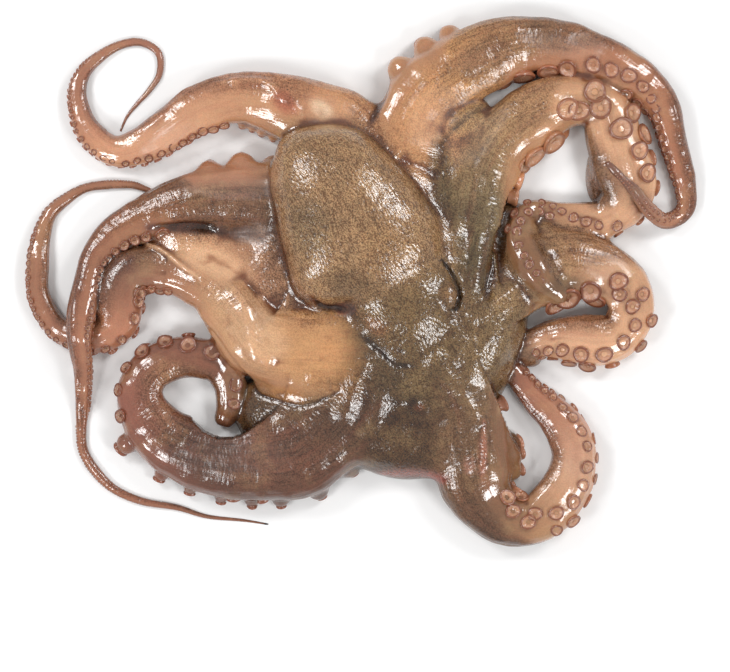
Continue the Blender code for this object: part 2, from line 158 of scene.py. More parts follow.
    "left_orange": {
        "route": [(35, -45, 0, 60), (0, -50, 4, 62), (-34, -52, 8, 60), (-76, -48, 10, 54), (-97, -28, 8, 48),
                  (-115, -6, 6, 40), (-138, 7, 3, 37), (-160, 11, 0, 36), (-179, 7, 0, 37), (-188, -8, 0, 38),
                  (-190, -26, 0, 37), (-198, -37, 0, 31), (-214, -41, 0, 25), (-233, -36, 0, 19),
                  (-244, -23, 0, 18), (-251, -6, 0, 17), (-251, 14, 0, 17), (-249, 33, 0, 14.5),
                  (-243, 52, 0, 11), (-232, 63, 0, 9.3), (-216, 73, 0, 7), (-197, 76, 0, 7),
                  (-180, 76, 0, 6), (-172, 74, 0, 5), (-161, 70, 0, 3)],
        "oral": [(0, 0), (0.30, -50), (0.42, -86), (0.55, -96), (1, -102)],
        "suckers": (0.40, 1.0), "cup_size": [(0.4, 0.22), (0.55, 0.28), (1, 0.30)],
        "cups": [(0.2, 196, 134, 104), (0.6, 170, 112, 86), (1, 164, 108, 84)],
        "rims": [(0.4, 0.6), (0.6, 1), (1, 1)],
        "bare": [(0.1, 0.3), (0.3, 0.4), (0.45, 0.2)],
        "back": [(0.05, 112, 92, 66), (0.095, 180, 136, 92), (0.13, 218, 168, 120), (0.18, 228, 178, 132), (0.24, 232, 194, 162),
                 (0.33, 220, 176, 144), (0.4, 166, 120, 94), (0.45, 120, 84, 70), (0.49, 116, 82, 70), (0.55, 190, 134, 108), (0.7, 172, 122, 98),
                 (1, 162, 114, 90)],
        "flank": [(0.05, 206, 154, 112), (0.3, 214, 168, 134), (0.40, 184, 134, 108), (0.46, 146, 104, 88),
                  (0.5, 160, 112, 92), (0.55, 200, 142, 118),
                  (0.7, 172, 124, 102), (1, 168, 120, 98)],
    },
    "left_long": {
        "route": [(30, -5, 0, 50), (-10, 30, 0, 54), (-50, 57, 0, 54), (-79, 65, 0, 54), (-104, 65, 0, 49),
                  (-130, 62, 0, 45), (-153, 56, 0, 39), (-170, 49, 0, 34), (-190, 38, 1, 28),
                  (-204, 24, 3, 23.5), (-210, 10, 6, 21), (-214, -8, 11, 21), (-216, -25, 16, 21),
                  (-217, -44, 19, 18), (-216, -60, 13, 15.5), (-216, -75, 5, 14), (-217, -94, 0, 11.6),
                  (-218, -113, 0, 8), (-216, -130, 0, 7.7), (-206, -146, 0, 7.7), (-192, -159, 0, 6.6),
                  (-171, -168, 0, 5.8), (-144, -173, 0, 4.4), (-121, -180, 0, 3), (-93, -183, 0, 2),
                  (-74, -186, 0, 1)],
        "oral": [(0, 60), (0.2, 66), (0.31, 66), (0.33, 0), (0.35, -74), (0.40, -98), (0.62, -106), (0.66, -100),
                 (0.70, 84), (1, 92)],
        "suckers": (0.10, 1.0), "cup_size": [(0.1, 0.36), (0.30, 0.34), (0.36, 0.30), (0.6, 0.26), (1, 0.28)],
        "cups": [(0.1, 196, 134, 108), (0.4, 176, 116, 90), (1, 164, 108, 84)],
        "rims": [(0.2, 0), (0.3, 1), (1, 1)],
        "lobes": [(0.215, 7.0, 0), (0.25, 9.0, 0), (0.29, 8.5, -1)],
        "lobe_dip": 0.95,
        "back": [(0.2, 136, 102, 84), (0.3, 144, 106, 84), (0.38, 164, 112, 80), (0.46, 148, 98, 78),
                 (0.6, 166, 114, 94), (1, 160, 106, 86)],
        "flank": [(0.2, 206, 152, 122), (0.32, 184, 132, 106), (0.4, 176, 126, 100), (0.6, 178, 126, 104),
                  (1, 164, 112, 90)],
    },
}

# Slack pouches seen from above: a closed outline as (x, y), its own middle, underside, top, how square
# its section is, and the width of its blend. The mantle only rests on the arms, so its blend is narrow.
POUCHES = {
    "mantle": {
        "outline": [(-26, 120), (-49, 117), (-63, 109), (-69.5, 92), (-70.5, 72), (-67, 54), (-63, 33),
                    (-59, 18), (-53, -4), (-43, -14), (-31, -18), (-13, -17), (14, -20), (40, -8), (58, 14),
                    (58, 33), (54, 50), (41, 71), (25, 90), (6, 109), (-8, 117)],
        "middle": (-9, 50), "low": -6, "high": 68, "square": 2.3, "blend": 5.0, "tone": (198, 164, 128)},
    "head": {
        "outline": [(-11, -13), (-5, -38), (5, -46), (23, -54), (32, -60.5), (39, -61.5), (46, -58),
                    (58, -49), (66, -36), (70, -18), (71, -2), (67, 8), (56, 22), (28, 26), (-3, 10)],
        "middle": (33, -18), "low": -10, "high": 55, "square": 2.4, "blend": 6.0, "tone": (142, 118, 84)},
}

# Rounded forms: (x, y, z, half length, half width, half height, turn in degrees, width of the blend).
WEB = [(48, -66, 0, 60, 56, 31, -60, 14), (5, 20, 0, 66, 52, 40, -55, 6), (95, -43, 0, 53, 27, 42, 68, 18),
       (-40, -88, 0, 62, 40, 30, 20, 10), (28, -121, 0, 46, 30, 36, -8, 18), (66, 100, 0, 44, 38, 26, -70, 9),
       (112, 38, 0, 22, 26, 18, 0, 10), (62, 50, 0, 42, 28, 28, 70, 12), (-66, 9, 0, 45, 46, 31, 0, 11),
       (-122, 20, 0, 50, 30, 26, -16, 14), (138, 40, 0, 17, 14, 17, 0, 6),
       (126, -55, 0, 12, 9, 14, -30, 4), (78, 126, 0, 21, 13, 31, 38, 14), (182, 86, 0, 25, 11, 18, 85, 8)]
HEAD_FORMS = [(12, -31, 36, 17, 9, 12, -33, 6), (63, -10, 38, 13, 9.5, 13, -75, 3)]

ROUND_AT_TIP = 0.90
SPREAD = 0.0053
THINNEST = 4.6
SQUARENESS = 2.25           # 2 is an ellipse; a little more is a slack, heavy section
BASE_BLEND = 24.0           # width of the blend where an arm leaves the crown
TIP_BLEND = 2.2             # and where it only touches what it lies on
BLEND_REACH = 120.0


def smooth_curve(points, step):
    """Catmull-Rom curve through the points, read every step: rows of the same values."""
    points = np.array(points, dtype=float)
    ends = np.vstack([2 * points[0] - points[1], points, 2 * points[-1] - points[-2]])
    rows = []
    for a, b, c, d in zip(ends, ends[1:], ends[2:], ends[3:]):
        count = max(1, int(round(np.linalg.norm(c[:2] - b[:2]) / step)))
        t = (np.arange(count) / count)[:, None]
        rows.append(0.5 * (2 * b + (c - a) * t + (2 * a - 5 * b + 4 * c - d) * t ** 2
                           + (3 * b - a - 3 * c + d) * t ** 3))
    return np.vstack(rows + [points[-1:]])


def along_table(pairs, place):
    """Values given at a few places along an arm, read at every place between them."""
    pairs = np.array(pairs, dtype=float)
    return np.stack([np.interp(place, pairs[:, 0], pairs[:, k]) for k in range(1, pairs.shape[1])], axis=-1)


def lay_arm(arm):
    """The arm's centre line with its frame, half sizes, oral angle and blend at every millimetre and a half."""
    rows = smooth_curve(arm["route"], 1.5)
    width = rows[:, 3]
    height = width * (ROUND_AT_TIP - SPREAD * width)
    xy = rows[:, :2]
    along = np.gradient(xy, axis=0)
    along /= np.linalg.norm(along, axis=1)[:, None]
    run = np.concatenate([[0], np.cumsum(np.linalg.norm(np.diff(xy, axis=0), axis=1))])
    place = run / run[-1]
    return {"xy": xy, "along": along, "right": np.column_stack([along[:, 1], -along[:, 0]]), "run": run,
            "place": place, "half_width": width / 2, "half_height": height / 2,
            "centre_z": rows[:, 2] + height / 2 - np.where(rows[:, 2] < 1, 1.0, 0.0),
            "oral": along_table(arm["oral"], place)[:, 0],
            "bare": along_table(arm.get("bare", [(0, 0), (1, 0)]), place)[:, 0],
            "blend": TIP_BLEND + (BASE_BLEND - TIP_BLEND) * np.exp(-(run / BLEND_REACH) ** 2)}


def nearest(line, xy):
    """For points seen from above: the run along the line, the offset to its right, and the reach past an end."""
    index = np.empty(len(xy), dtype=int)
    half_square = (line["xy"] ** 2).sum(1) / 2
    for start in range(0, len(xy), 60000):
        part = slice(start, start + 60000)
        index[part] = np.argmin(half_square - xy[part] @ line["xy"].T, axis=1)
    offset = xy - line["xy"][index]
    ahead = (offset * line["along"][index]).sum(1)
    aside = (offset * line["right"][index]).sum(1)
    last = len(line["xy"]) - 1
    beyond = np.where(index == 0, np.maximum(-ahead, 0), 0) + np.where(index == last, np.maximum(ahead, 0), 0)
    run = line["run"][index] + np.clip(ahead, -1.5, 1.5)
    return np.clip(run, 0, line["run"][-1]), aside, beyond


def read(line, name, run):
    """One of the line's values at any run along it."""
    return np.interp(run, line["run"], line[name])


def section(line, run, aside, beyond, z):
    """Signed depth in an oval section: zero on the skin, negative in the flesh."""
    wide = read(line, "half_width", run)
    high = read(line, "half_height", run)
    rise = z - read(line, "centre_z", run)
    power = ((np.abs(aside) / wide) ** SQUARENESS + (beyond / wide) ** SQUARENESS
             + (np.abs(rise) / high) ** SQUARENESS)
    return (power ** (1 / SQUARENESS) - 1) * high


def dome(form, x, y, z):
    """Signed depth in an ellipsoid turned about the upright axis."""
    cx, cy, cz, length, width, height, turn, blend = form
    turn = np.radians(turn)
    u = (x - cx) * np.cos(turn) + (y - cy) * np.sin(turn)
    v = (y - cy) * np.cos(turn) - (x - cx) * np.sin(turn)
    return (np.sqrt((u / length) ** 2 + (v / width) ** 2 + ((z - cz) / height) ** 2) - 1) * height


def pouch(form, x, y, z):
    """Signed depth in a pouch: the reach from its middle over the outline's reach that way, with the height."""
    table = form["table"]
    dx, dy = x - form["middle"][0], y - form["middle"][1]
    rim = np.interp(np.arctan2(dy, dx), table[:, 0], table[:, 1], period=2 * np.pi)
    half = (form["high"] - form["low"]) / 2
    rise = (z - (form["high"] + form["low"]) / 2) / half
    power = form["square"]
    return (((np.hypot(dx, dy) / rim) ** power + np.abs(rise) ** power) ** (1 / power) - 1) * half


def rim_table(form):
    """Reach of a pouch's smooth outline from its middle, against direction."""
    around = form["outline"] + form["outline"][:3]
    edge = smooth_curve(around, 1.0)[1:] - np.array(form["middle"])
    table = np.column_stack([np.arctan2(edge[:, 1], edge[:, 0]), np.hypot(edge[:, 0], edge[:, 1])])
    return table[np.argsort(table[:, 0])]


def blended(a, b, width):
    """Union of two depths, rounded over the given width where they meet."""
    mix = np.maximum(width - np.abs(a - b), 0) / width
    return np.minimum(a, b) - mix * mix * width / 4


LINES = {name: lay_arm(arm) for name, arm in ARMS.items()}
for form in POUCHES.values():
    form["table"] = rim_table(form)


def lobes_of(name):
    """The backs of suckers that stand out under an arm's edge: each one's form, outward direction and run."""
    line = LINES[name]
    lobes = []
    for place, size, out in ARMS[name].get("lobes", []):
        run = place * line["run"][-1]
        middle = np.array([np.interp(run, line["run"], line["xy"][:, k]) for k in (0, 1)])
        right = np.array([np.interp(run, line["run"], line["right"][:, k]) for k in (0, 1)])
        outward = right * np.sign(read(line, "oral", run))
        x, y = middle + outward * (read(line, "half_width", run) + out)
        lobes.append(((x, y, 1.2 * size, size, size, 0.9 * size, 0, 1.2), outward, run))
    return lobes


def flesh_field():
    """Depth of the whole body on a regular grid, with the grid's axes."""
    x = np.arange(-268, 268, CELL)
    y = np.arange(-216, 216, CELL)
    z = np.arange(-3.2, 76, CELL)
    body = np.full((len(x), len(y), len(z)), 40.0, dtype=np.float32)

    def add(low, high, depth_of, width_of):
        i = slice(*np.searchsorted(x, (low[0], high[0])))
        j = slice(*np.searchsorted(y, (low[1], high[1])))
        grid = np.meshgrid(x[i], y[j], indexing="ij")
        depth, width = depth_of(grid[0], grid[1])
        body[i, j] = blended(body[i, j], depth, width)

    for form in WEB:
        reach = max(form[3], form[4]) + form[7] + 6
        add((form[0] - reach, form[1] - reach), (form[0] + reach, form[1] + reach),
            lambda gx, gy, form=form: (dome(form, gx[..., None], gy[..., None], z), form[7]), None)
    for form in [form for name in ARMS for form, outward, run in lobes_of(name)]:
        add((form[0] - 20, form[1] - 20), (form[0] + 20, form[1] + 20),
            lambda gx, gy, form=form: (dome(form, gx[..., None], gy[..., None], z), form[7]), None)
    for line in LINES.values():
        cut = line["half_width"] >= THINNEST / 2 * 0.999
        margin = line["half_width"].max() + BASE_BLEND + 4
        low = line["xy"].min(0) - margin
        high = line["xy"].max(0) + margin
        thick = dict(line, half_width=np.maximum(line["half_width"], THINNEST / 2),
                     half_height=np.maximum(line["half_height"], THINNEST / 2 * 0.9))
        stop = len(cut) if cut.all() else int(np.argmin(cut))
        thick = {key: value[:stop] for key, value in thick.items()}

        def depth_of(gx, gy, thick=thick):
            run, aside, beyond = nearest(thick, np.column_stack([gx.ravel(), gy.ravel()]))
            shape = gx.shape + (1,)
            run = run.reshape(shape)
            depth = section(thick, run, aside.reshape(shape), beyond.reshape(shape), z)
            return depth, read(thick, "blend", run)

        add(low, high, depth_of, None)
    for form in POUCHES.values():
        edge = np.array(form["outline"])
        add(edge.min(0) - 14, edge.max(0) + 14,
            lambda gx, gy, form=form: (pouch(form, gx[..., None], gy[..., None], z), form["blend"]), None)
    for form in HEAD_FORMS:
        add((form[0] - 40, form[1] - 40), (form[0] + 40, form[1] + 40),
            lambda gx, gy, form=form: (dome(form, gx[..., None], gy[..., None], z), form[7]), None)
    return np.maximum(body, -z), (x, y, z)


def net_surface(depth, axes):
    """Surface net of the zero level: one point in each crossed cell, at the mean of its crossings."""
    inside = depth < 0
    corners = [(a, b, c) for a in (0, 1) for b in (0, 1) for c in (0, 1)]
    n = np.array(depth.shape) - 1
    filled = sum(inside[a:a + n[0], b:b + n[1], c:c + n[2]].astype(np.int8) for a, b, c in corners)
    cell = np.argwhere((filled > 0) & (filled < 8))
    value = {k: depth[cell[:, 0] + k[0], cell[:, 1] + k[1], cell[:, 2] + k[2]] for k in corners}
    total = np.zeros((len(cell), 3))
    hits = np.zeros(len(cell))
    for k in corners:
        for axis in range(3):
            if k[axis] == 0:
                m = tuple(k[i] + (i == axis) for i in range(3))
                crossed = (value[k] < 0) != (value[m] < 0)
                share = np.where(crossed, value[k] / np.where(crossed, value[k] - value[m], 1), 0)
                point = np.array(k, dtype=float) + share[:, None] * np.eye(3)[axis]
                total += point * crossed[:, None]
                hits += crossed
    points = np.array([axis[0] for axis in axes]) + (cell + total / hits[:, None]) * CELL
    number = np.full(n, -1, dtype=np.int64)
    number[tuple(cell.T)] = np.arange(len(cell))
    quads = []
    for axis, (p, q) in enumerate(((1, 2), (2, 0), (0, 1))):
        low = [slice(1, -1)] * 3
        high = [slice(1, -1)] * 3
        low[axis] = slice(0, -1)
        high[axis] = slice(1, None)
        start, end = inside[tuple(low)], inside[tuple(high)]
        edge = np.argwhere(start != end) + 1
        edge[:, axis] -= 1
        outward = depth[tuple(edge.T)] < 0
        ring = []
        for dp, dq in ((-1, -1), (0, -1), (0, 0), (-1, 0)):
            at = edge.copy()
            at[:, p] += dp
            at[:, q] += dq
            ring.append(number[tuple(at.T)])
        ring = np.column_stack(ring)
        quads.append(np.where(outward[:, None], ring, ring[:, ::-1]))
    return points, np.vstack(quads)


def sampled(grid, axes, points):
    """Trilinear reading of a grid at points."""
    at = (points - np.array([axis[0] for axis in axes])) / CELL
    at = np.clip(at, 0, np.array(grid.shape) - 1.001)
    base = at.astype(int)
    t = at - base
    result = 0
    for a in (0, 1):
        for b in (0, 1):
            for c in (0, 1):
                weight = ((t[:, 0] if a else 1 - t[:, 0]) * (t[:, 1] if b else 1 - t[:, 1])
                          * (t[:, 2] if c else 1 - t[:, 2]))
                result = result + weight * grid[base[:, 0] + a, base[:, 1] + b, base[:, 2] + c]
    return result


def relaxed(points, pairs, passes, pull=0.5):
    """Each point moved towards the mean of the points that it is joined to."""
    first, second = pairs.T
    degree = np.bincount(first, minlength=len(points)) + np.bincount(second, minlength=len(points))
    for _ in range(passes):
        mean = np.stack([np.bincount(first, points[second, k], len(points))
                         + np.bincount(second, points[first, k], len(points)) for k in range(3)], axis=-1)
        points = points + pull * (mean / degree[:, None] - points)
    return points


def mesh_piece(name, points, faces, smooth=True):
    """A mesh object in metres from points in millimetres and faces of equal length."""
    mesh = bpy.data.meshes.new(name)
    faces = np.asarray(faces)
    mesh.vertices.add(len(points))
    mesh.vertices.foreach_set("co", ((points + CENTRING) * MM).astype(np.float32).ravel())
    mesh.loops.add(faces.size)
    mesh.loops.foreach_set("vertex_index", faces.ravel().astype(np.int32))
    mesh.polygons.add(len(faces))
    mesh.polygons.foreach_set("loop_start", np.arange(0, faces.size, faces.shape[1], dtype=np.int32))
    mesh.update(calc_edges=True)
    mesh.validate()
    if smooth:
        mesh.shade_smooth()
    piece = bpy.data.objects.new(name, mesh)
    bpy.context.scene.collection.objects.link(piece)
    return piece


def worked_in(piece):
    """Replace the piece's mesh by what its modifiers make of it."""
    bpy.context.view_layer.update()
    mesh = bpy.data.meshes.new_from_object(piece.evaluated_get(bpy.context.evaluated_depsgraph_get()))
    piece.modifiers.clear()
    piece.data = mesh
    return piece


def points_of(piece):
    """A piece's points back in millimetres about the routes' own middle."""
    coords = np.empty(len(piece.data.vertices) * 3)
    piece.data.vertices.foreach_get("co", coords)
    return coords.reshape(-1, 3) / MM - CENTRING


def lumps(at, seed):
    """Random values on a whole-number lattice, eased from corner to corner: about -1 to 1."""
    table = np.random.default_rng(seed).uniform(-1, 1, (32, 32, 32))
    base = np.floor(at).astype(int)
    t = at - base
    t = t * t * (3 - 2 * t)
    total = np.zeros(len(at))
    for corner in np.ndindex(2, 2, 2):
        weight = np.prod(np.where(corner, t, 1 - t), axis=1)
        total += weight * table[tuple(((base + corner) % 32).T)]
    return total


def eased(value, low, high):
    """0 below low, 1 above high, an S-curve between them."""
    t = np.clip((value - low) / (high - low), 0, 1)
    return t * t * (3 - 2 * t)


# Folds in the slack skin: the line that each follows as (x, y), how far it stands up (or down), its half
# width, the ledge that the skin on its right makes, and how far that ledge runs out.
FOLDS = [
    ([(19, 156), (12, 138), (4, 119)], -3.0, 3.0, 0, 1),
    ([(66, 112), (78, 124), (98, 136)], -2.0, 3.0, 0, 1),
    ([(59, 17), (66, 9), (71, -1), (73, -10), (71, -19), (66, -21)], -5.0, 1.3, 0, 1),
    ([(-109, 153), (-82, 155), (-70, 150), (-64, 142), (-54, 137), (-47, 126)], 1.6, 2.4, 0, 1),
    ([(-173, 32), (-155, 25), (-138, 12), (-127, 5)], 2.6, 2.0, 0, 1),
    ([(-151, -13), (-138, -20), (-127, -28), (-114, -40), (-101, -58), (-87, -75), (-80, -85), (-66, -90),
      (-47, -94), (-29, -88), (-15, -81)], -1.5, 1.8, 0, 1),
    ([(-102, 2), (-90, -22), (-82, -52), (-66, -64)], 3.4, 7.5, 0, 1),
    ([(-164, 42), (-146, 43), (-128, 43), (-110, 40)], -3.6, 2.6, 0, 1),
    ([(118, -1), (101, -13), (90, -24), (74, -29)], 3.0, 6.0, 0, 1),
    ([(47, -51), (63, -68), (78, -88), (90, -110)], 3.2, 7.5, 0, 1),
    ([(60, -102), (70, -126), (76, -150)], 1.6, 8.0, 0, 1),
    ([(91, -108), (92, -126), (90, -146)], 1.8, 2.2, 0, 1),
    ([(4, -52), (-5, -71), (-11, -90), (-19, -110)], 2.6, 7.0, 0, 1),
    ([(14, -80), (10, -100), (0, -121)], 1.6, 6.0, 0, 1),
    ([(30, -98), (38, -90), (45, -96)], -1.2, 4.0, 0, 1),
    ([(80, -18), (86, 10), (88, 40), (92, 66), (100, 86)], 2.4, 6.5, 0, 1),
    ([(104, 44), (100, 20), (94, -4), (96, -18)], -3.2, 3.2, 0, 1),
    ([(24, 96), (44, 88), (60, 78)], -2.0, 5.0, 0, 1),
    ([(-40, -13), (-31, -19), (-20, -20), (-10, -22)], -3.5, 1.8, 0, 1),
    ([(-2, -40), (12, -52), (24, -62), (38, -63)], -1.6, 2.6, 0, 1),
]


def line_of(points, step=1.5):
    """A plain line on the ground plan, with the frame that `nearest` needs."""
    xy = smooth_curve(points, step)
    along = np.gradient(xy, axis=0)
    along /= np.linalg.norm(along, axis=1)[:, None]
    run = np.concatenate([[0], np.cumsum(np.linalg.norm(np.diff(xy, axis=0), axis=1))])
    return {"xy": xy, "along": along, "right": np.column_stack([along[:, 1], -along[:, 0]]), "run": run}


def folded(points):
    """How far the folds lift each point: a bell across the fold, faded out at both its ends."""
    lift = np.zeros(len(points))
    for course, rise, width, ledge, reach in FOLDS:
        line = line_of(course)
        margin = 3 * max(width, reach if ledge else 0)
        near = np.flatnonzero(np.all((points[:, :2] > line["xy"].min(0) - margin)
                                     & (points[:, :2] < line["xy"].max(0) + margin), axis=1))
        run, aside, beyond = nearest(line, points[near, :2])
        fade = eased(run, 0, 9) * eased(line["run"][-1] - run, 0, 9)
        gap = np.hypot(aside, beyond)
        lift[near] += fade * (rise * np.exp(-(gap / width) ** 2)
                              + ledge * eased(aside, -width, width) * np.exp(-(gap / reach) ** 2))
    return lift


def lie_of(points):
    """For each point and arm: depth, run and roll; and which arm it is, with how clearly it is that arm's."""
    depth = np.full((len(LINES), len(points)), 60.0)
    run = np.zeros_like(depth)
    roll = np.zeros_like(depth)
    for row, line in enumerate(LINES.values()):
        margin = line["half_width"].max() + 20
        near = np.flatnonzero(np.all((points[:, :2] > line["xy"].min(0) - margin)
                                     & (points[:, :2] < line["xy"].max(0) + margin), axis=1))
        at, aside, beyond = nearest(line, points[near, :2])
        wide = read(line, "half_width", at)
        high = read(line, "half_height", at)
        run[row, near] = at
        roll[row, near] = np.arctan2(aside / wide, (points[near, 2] - read(line, "centre_z", at)) / high)
        depth[row, near] = section(line, at, aside, beyond, points[near, 2])
    return depth, run, roll


def skin_tones(points, lie):
    """Skin colours as red, green and blue up to 255: each form's own tone, mixed where forms grow together, then the
    lines and patches, among them painted shade in creases and pockets and painted highlights along fold and web edges.
    """
    depth, run, roll = lie
    shown = [depth]
    tones = []
    for row, (name, arm) in enumerate(ARMS.items()):
        line = LINES[name]
        place = run[row] / line["run"][-1]
        oral_side = np.cos(roll[row] - np.radians(180 - read(line, "oral", run[row]))) + read(line, "bare", run[row])
        flank = eased(oral_side, -0.35, 0.40)[:, None]
        tones.append((1 - flank) * along_table(arm["back"], place) + flank * along_table(arm["flank"], place))
    x, y, z = points.T
    for form, tone in [(form, form["tone"]) for form in POUCHES.values()]:
        shown.append(pouch(form, x, y, z)[None])
        tones.append(np.broadcast_to(np.array(tone, dtype=float), (len(points), 3)))
    for form, tone in zip(WEB + HEAD_FORMS, WEB_TONES + HEAD_TONES):
        shown.append(dome(form, x, y, z)[None])
        tones.append(np.broadcast_to(np.array(tone, dtype=float), (len(points), 3)))
    shown = np.vstack(shown)
    weight = np.exp(-np.clip(shown - shown.min(0), 0, 60) / TONE_MIX)
    weight /= weight.sum(0)
    result = sum(w[:, None] * tone for w, tone in zip(weight, tones))
    # Lines along creases and edges: skin tone, painted shade in slits and creases, and painted highlights along fold
    # and web edges.
    for course, width, strength, *tone in STREAKS_AND_PAINTED_LIGHT:
        line = line_of(course)
        margin = 3 * width
        near = np.flatnonzero(np.all((points[:, :2] > line["xy"].min(0) - margin)
                                     & (points[:, :2] < line["xy"].max(0) + margin), axis=1))
        at, aside, beyond = nearest(line, points[near, :2])
        share = strength * np.exp(-(np.hypot(aside, beyond) / width) ** 2) * eased(points[near, 2], 3, 12)
        result[near] += share[:, None] * (np.array(tone) - result[near])
    # Patches: tints of the skin, and painted shade in pockets, creases and valleys.
    for patch in TINTS_AND_PAINTED_SHADE:
        share = spread(patch[:6], x, y)[:, None]
        result = (1 - share) * result + share * np.array(patch[6:])
    return result, weight


TONE_MIX = 2.5
WEB_TONES = [(104, 84, 54), (150, 125, 95), (156, 132, 98), (110, 84, 58), (98, 72, 48), (228, 174, 124),
             (150, 125, 98), (114, 98, 68), (198, 152, 124), (232, 184, 150), (150, 122, 94),
             (140, 108, 84), (196, 160, 112), (176, 138, 116)]
HEAD_TONES = [(160, 118, 88), (140, 112, 84)]
# Tints in the skin, and painted shade in pockets, creases and valleys: (x, y, half length, half width, turn, strength,
# red, green, blue).
TINTS_AND_PAINTED_SHADE = [
    (-32, 132, 15, 9, -40, 0.95, 255, 226, 200),
    (-60, 137, 16, 10, -45, 0.75, 200, 120, 98),
    (80, -139, 7, 10, 0, 0.7, 206, 156, 146),
    # painted shade in the pocket under the mantle's rim
    (-15, -20, 10, 6, 0, 0.95, 130, 58, 24),
    (108, -14, 16, 14, 0, 0.5, 196, 164, 126),
    (46, -76, 24, 14, 0, 0.4, 150, 126, 90),
    (-116, 16, 42, 15, -20, 0.9, 255, 212, 178),
    (-28, -50, 24, 28, -10, 0.65, 232, 182, 134),
    # painted shade along the crease between the long left arm and the orange left arm
    (-132, 41, 36, 5, -4, 0.8, 92, 62, 52),
    (172, 70, 14, 8, 20, 0.6, 140, 108, 94),
    # painted shade on the inner side of the right arm
    (151, -2, 22, 9, 10, 0.7, 112, 88, 66),
    (90, -132, 5, 26, 0, 0.7, 190, 130, 116),
    # painted shade in a small dent in the web
    (42, -95, 6, 4, 0, 0.7, 150, 86, 50),
    # painted shade in the valley between the upper inner arm and the right arm
    (97, 6, 5, 14, 10, 0.5, 120, 70, 52),
    (58, 84, 14, 36, 0, 0.6, 104, 92, 64),
    (9, -34, 13, 8, -40, 0.7, 176, 128, 92),
    (63, -8, 9, 9, 0, 0.6, 158, 124, 88),
    (20, 20, 34, 24, -50, 0.5, 182, 146, 106),
    (-40, 40, 22, 30, 20, 0.45, 132, 116, 92),
    (-10, 0, 30, 14, -10, 0.5, 134, 110, 82),
    (-74, -48, 24, 20, 0, 0.75, 242, 200, 166),
    (-60, -86, 22, 9, -10, 0.6, 220, 154, 84),
    (-26, -52, 12, 16, 0, 0.5, 236, 178, 126),
    (-104, -12, 22, 12, -40, 0.4, 236, 196, 168),
    (88, 170, 34, 18, 20, 0.5, 150, 118, 100),
    (-178, -90, 16, 30, 10, 0.5, 168, 108, 96),
    (-88, 38, 18, 9, 0, 0.85, 186, 150, 126),
    (-30, 100, 34, 24, 0, 0.5, 190, 156, 120),
]

# Thin lines along creases and edges: (course, half width, strength, red, green, blue). Some are skin tone, the marked
# ones painted shade in slits and creases or painted highlights along fold and web edges.
STREAKS_AND_PAINTED_LIGHT = [
    # painted shade in the mantle's opening
    ([(59, 17), (66, 9), (71, -1), (73, -10), (71, -19), (66, -21)], 1.0, 0.95, 22, 14, 10),
    # painted shade in the crease at the neck
    ([(-2, -40), (12, -52), (24, -62), (38, -63)], 2.4, 0.6, 60, 42, 28),
    # painted shade in the pocket under the mantle's rim
    ([(-40, -12), (-31, -18), (-20, -19), (-8, -21)], 2.2, 0.9, 92, 36, 22),
    ([(-66, 100), (-69, 72), (-66, 50), (-61, 25), (-54, 2), (-44, -12)], 4.0, 0.55, 200, 160, 138),
    # painted shade in the crease between the long left arm and the orange left arm
    ([(-164, 42), (-146, 43), (-128, 43), (-110, 40)], 3.2, 0.8, 84, 48, 46),
    # painted highlight along the crest of the fold on the pale flap
    ([(-173, 32), (-155, 25), (-138, 12), (-127, 5)], 1.6, 0.8, 252, 214, 184),
    # painted highlight along the web's free edge
    ([(138, -11), (128, -28), (117, -48), (111, -70), (103, -97)], 2.2, 0.6, 206, 180, 150),
    ([(91, -105), (92, -126), (90, -146)], 1.6, 0.7, 204, 142, 126),
    ([(6, -150), (24, -146), (44, -146), (60, -150)], 4.0, 0.9, 190, 92, 78),
    # painted shade in the crease between the upper outer and upper inner arms
    ([(58, 104), (66, 115), (78, 126), (90, 135)], 1.8, 0.45, 84, 64, 46),
    # painted highlight along the fold edge on the upper left arm
    ([(-109, 153), (-82, 155), (-70, 150), (-64, 142), (-54, 137), (-47, 126)], 1.5, 0.5, 240, 198, 168),
    # painted shade in the crease between the upper left and upper outer arms
    ([(19, 156), (12, 138), (4, 119)], 2.2, 0.6, 120, 72, 56),
]

# Where the back skin is as sleek as the flanks: (x, y, half length, half width, turn, strength).
SLEEK = [
    (-70, -45, 62, 34, -35, 0.8),
    (-24, -50, 32, 32, 0, 0.75),
    (-120, 15, 52, 22, -18, 0.9),
    (40, 120, 40, 30, 60, 0.55),
    (-30, 132, 30, 26, 0, 0.8),
    (-110, 84, 70, 12, -6, 0.9),
    (-100, 20, 26, 30, 0, 0.6),
]

# Where the slime has drained away and the skin shines less: the same six numbers.
DULL = [
    (-108, 76, 56, 16, -8, 0.9),
    (86, 120, 46, 26, 60, 0.85),
    (52, 128, 38, 24, 60, 0.7),
    (185, 12, 24, 13, -10, 0.8),
    (-88, 38, 22, 12, 0, 0.6),
    (-15, -20, 12, 8, 0, 0.9),
    (169, 181, 22, 14, 0, 0.7),
    (-100, -132, 70, 24, 0, 0.3),
    (-26, 128, 34, 22, -20, 0.5),
    (-150, 108, 40, 14, 30, 0.5),
    (150, 180, 44, 12, -15, 0.5),
]


def spread(patch, x, y):
    """A soft spot's share at each point: full at its middle, nothing past its edge."""
    cx, cy, length, width, turn, strength = patch
    turn = np.radians(turn)
    u = ((x - cx) * np.cos(turn) + (y - cy) * np.sin(turn)) / length
    v = ((y - cy) * np.cos(turn) - (x - cx) * np.sin(turn)) / width
    return strength * eased(-np.hypot(u, v), -1, -0.35)


# The skin gives back this share of the tone seen on it; the lamps and the shine add the rest.
OWN_SHARE = np.array([0.78, 0.70, 0.59])


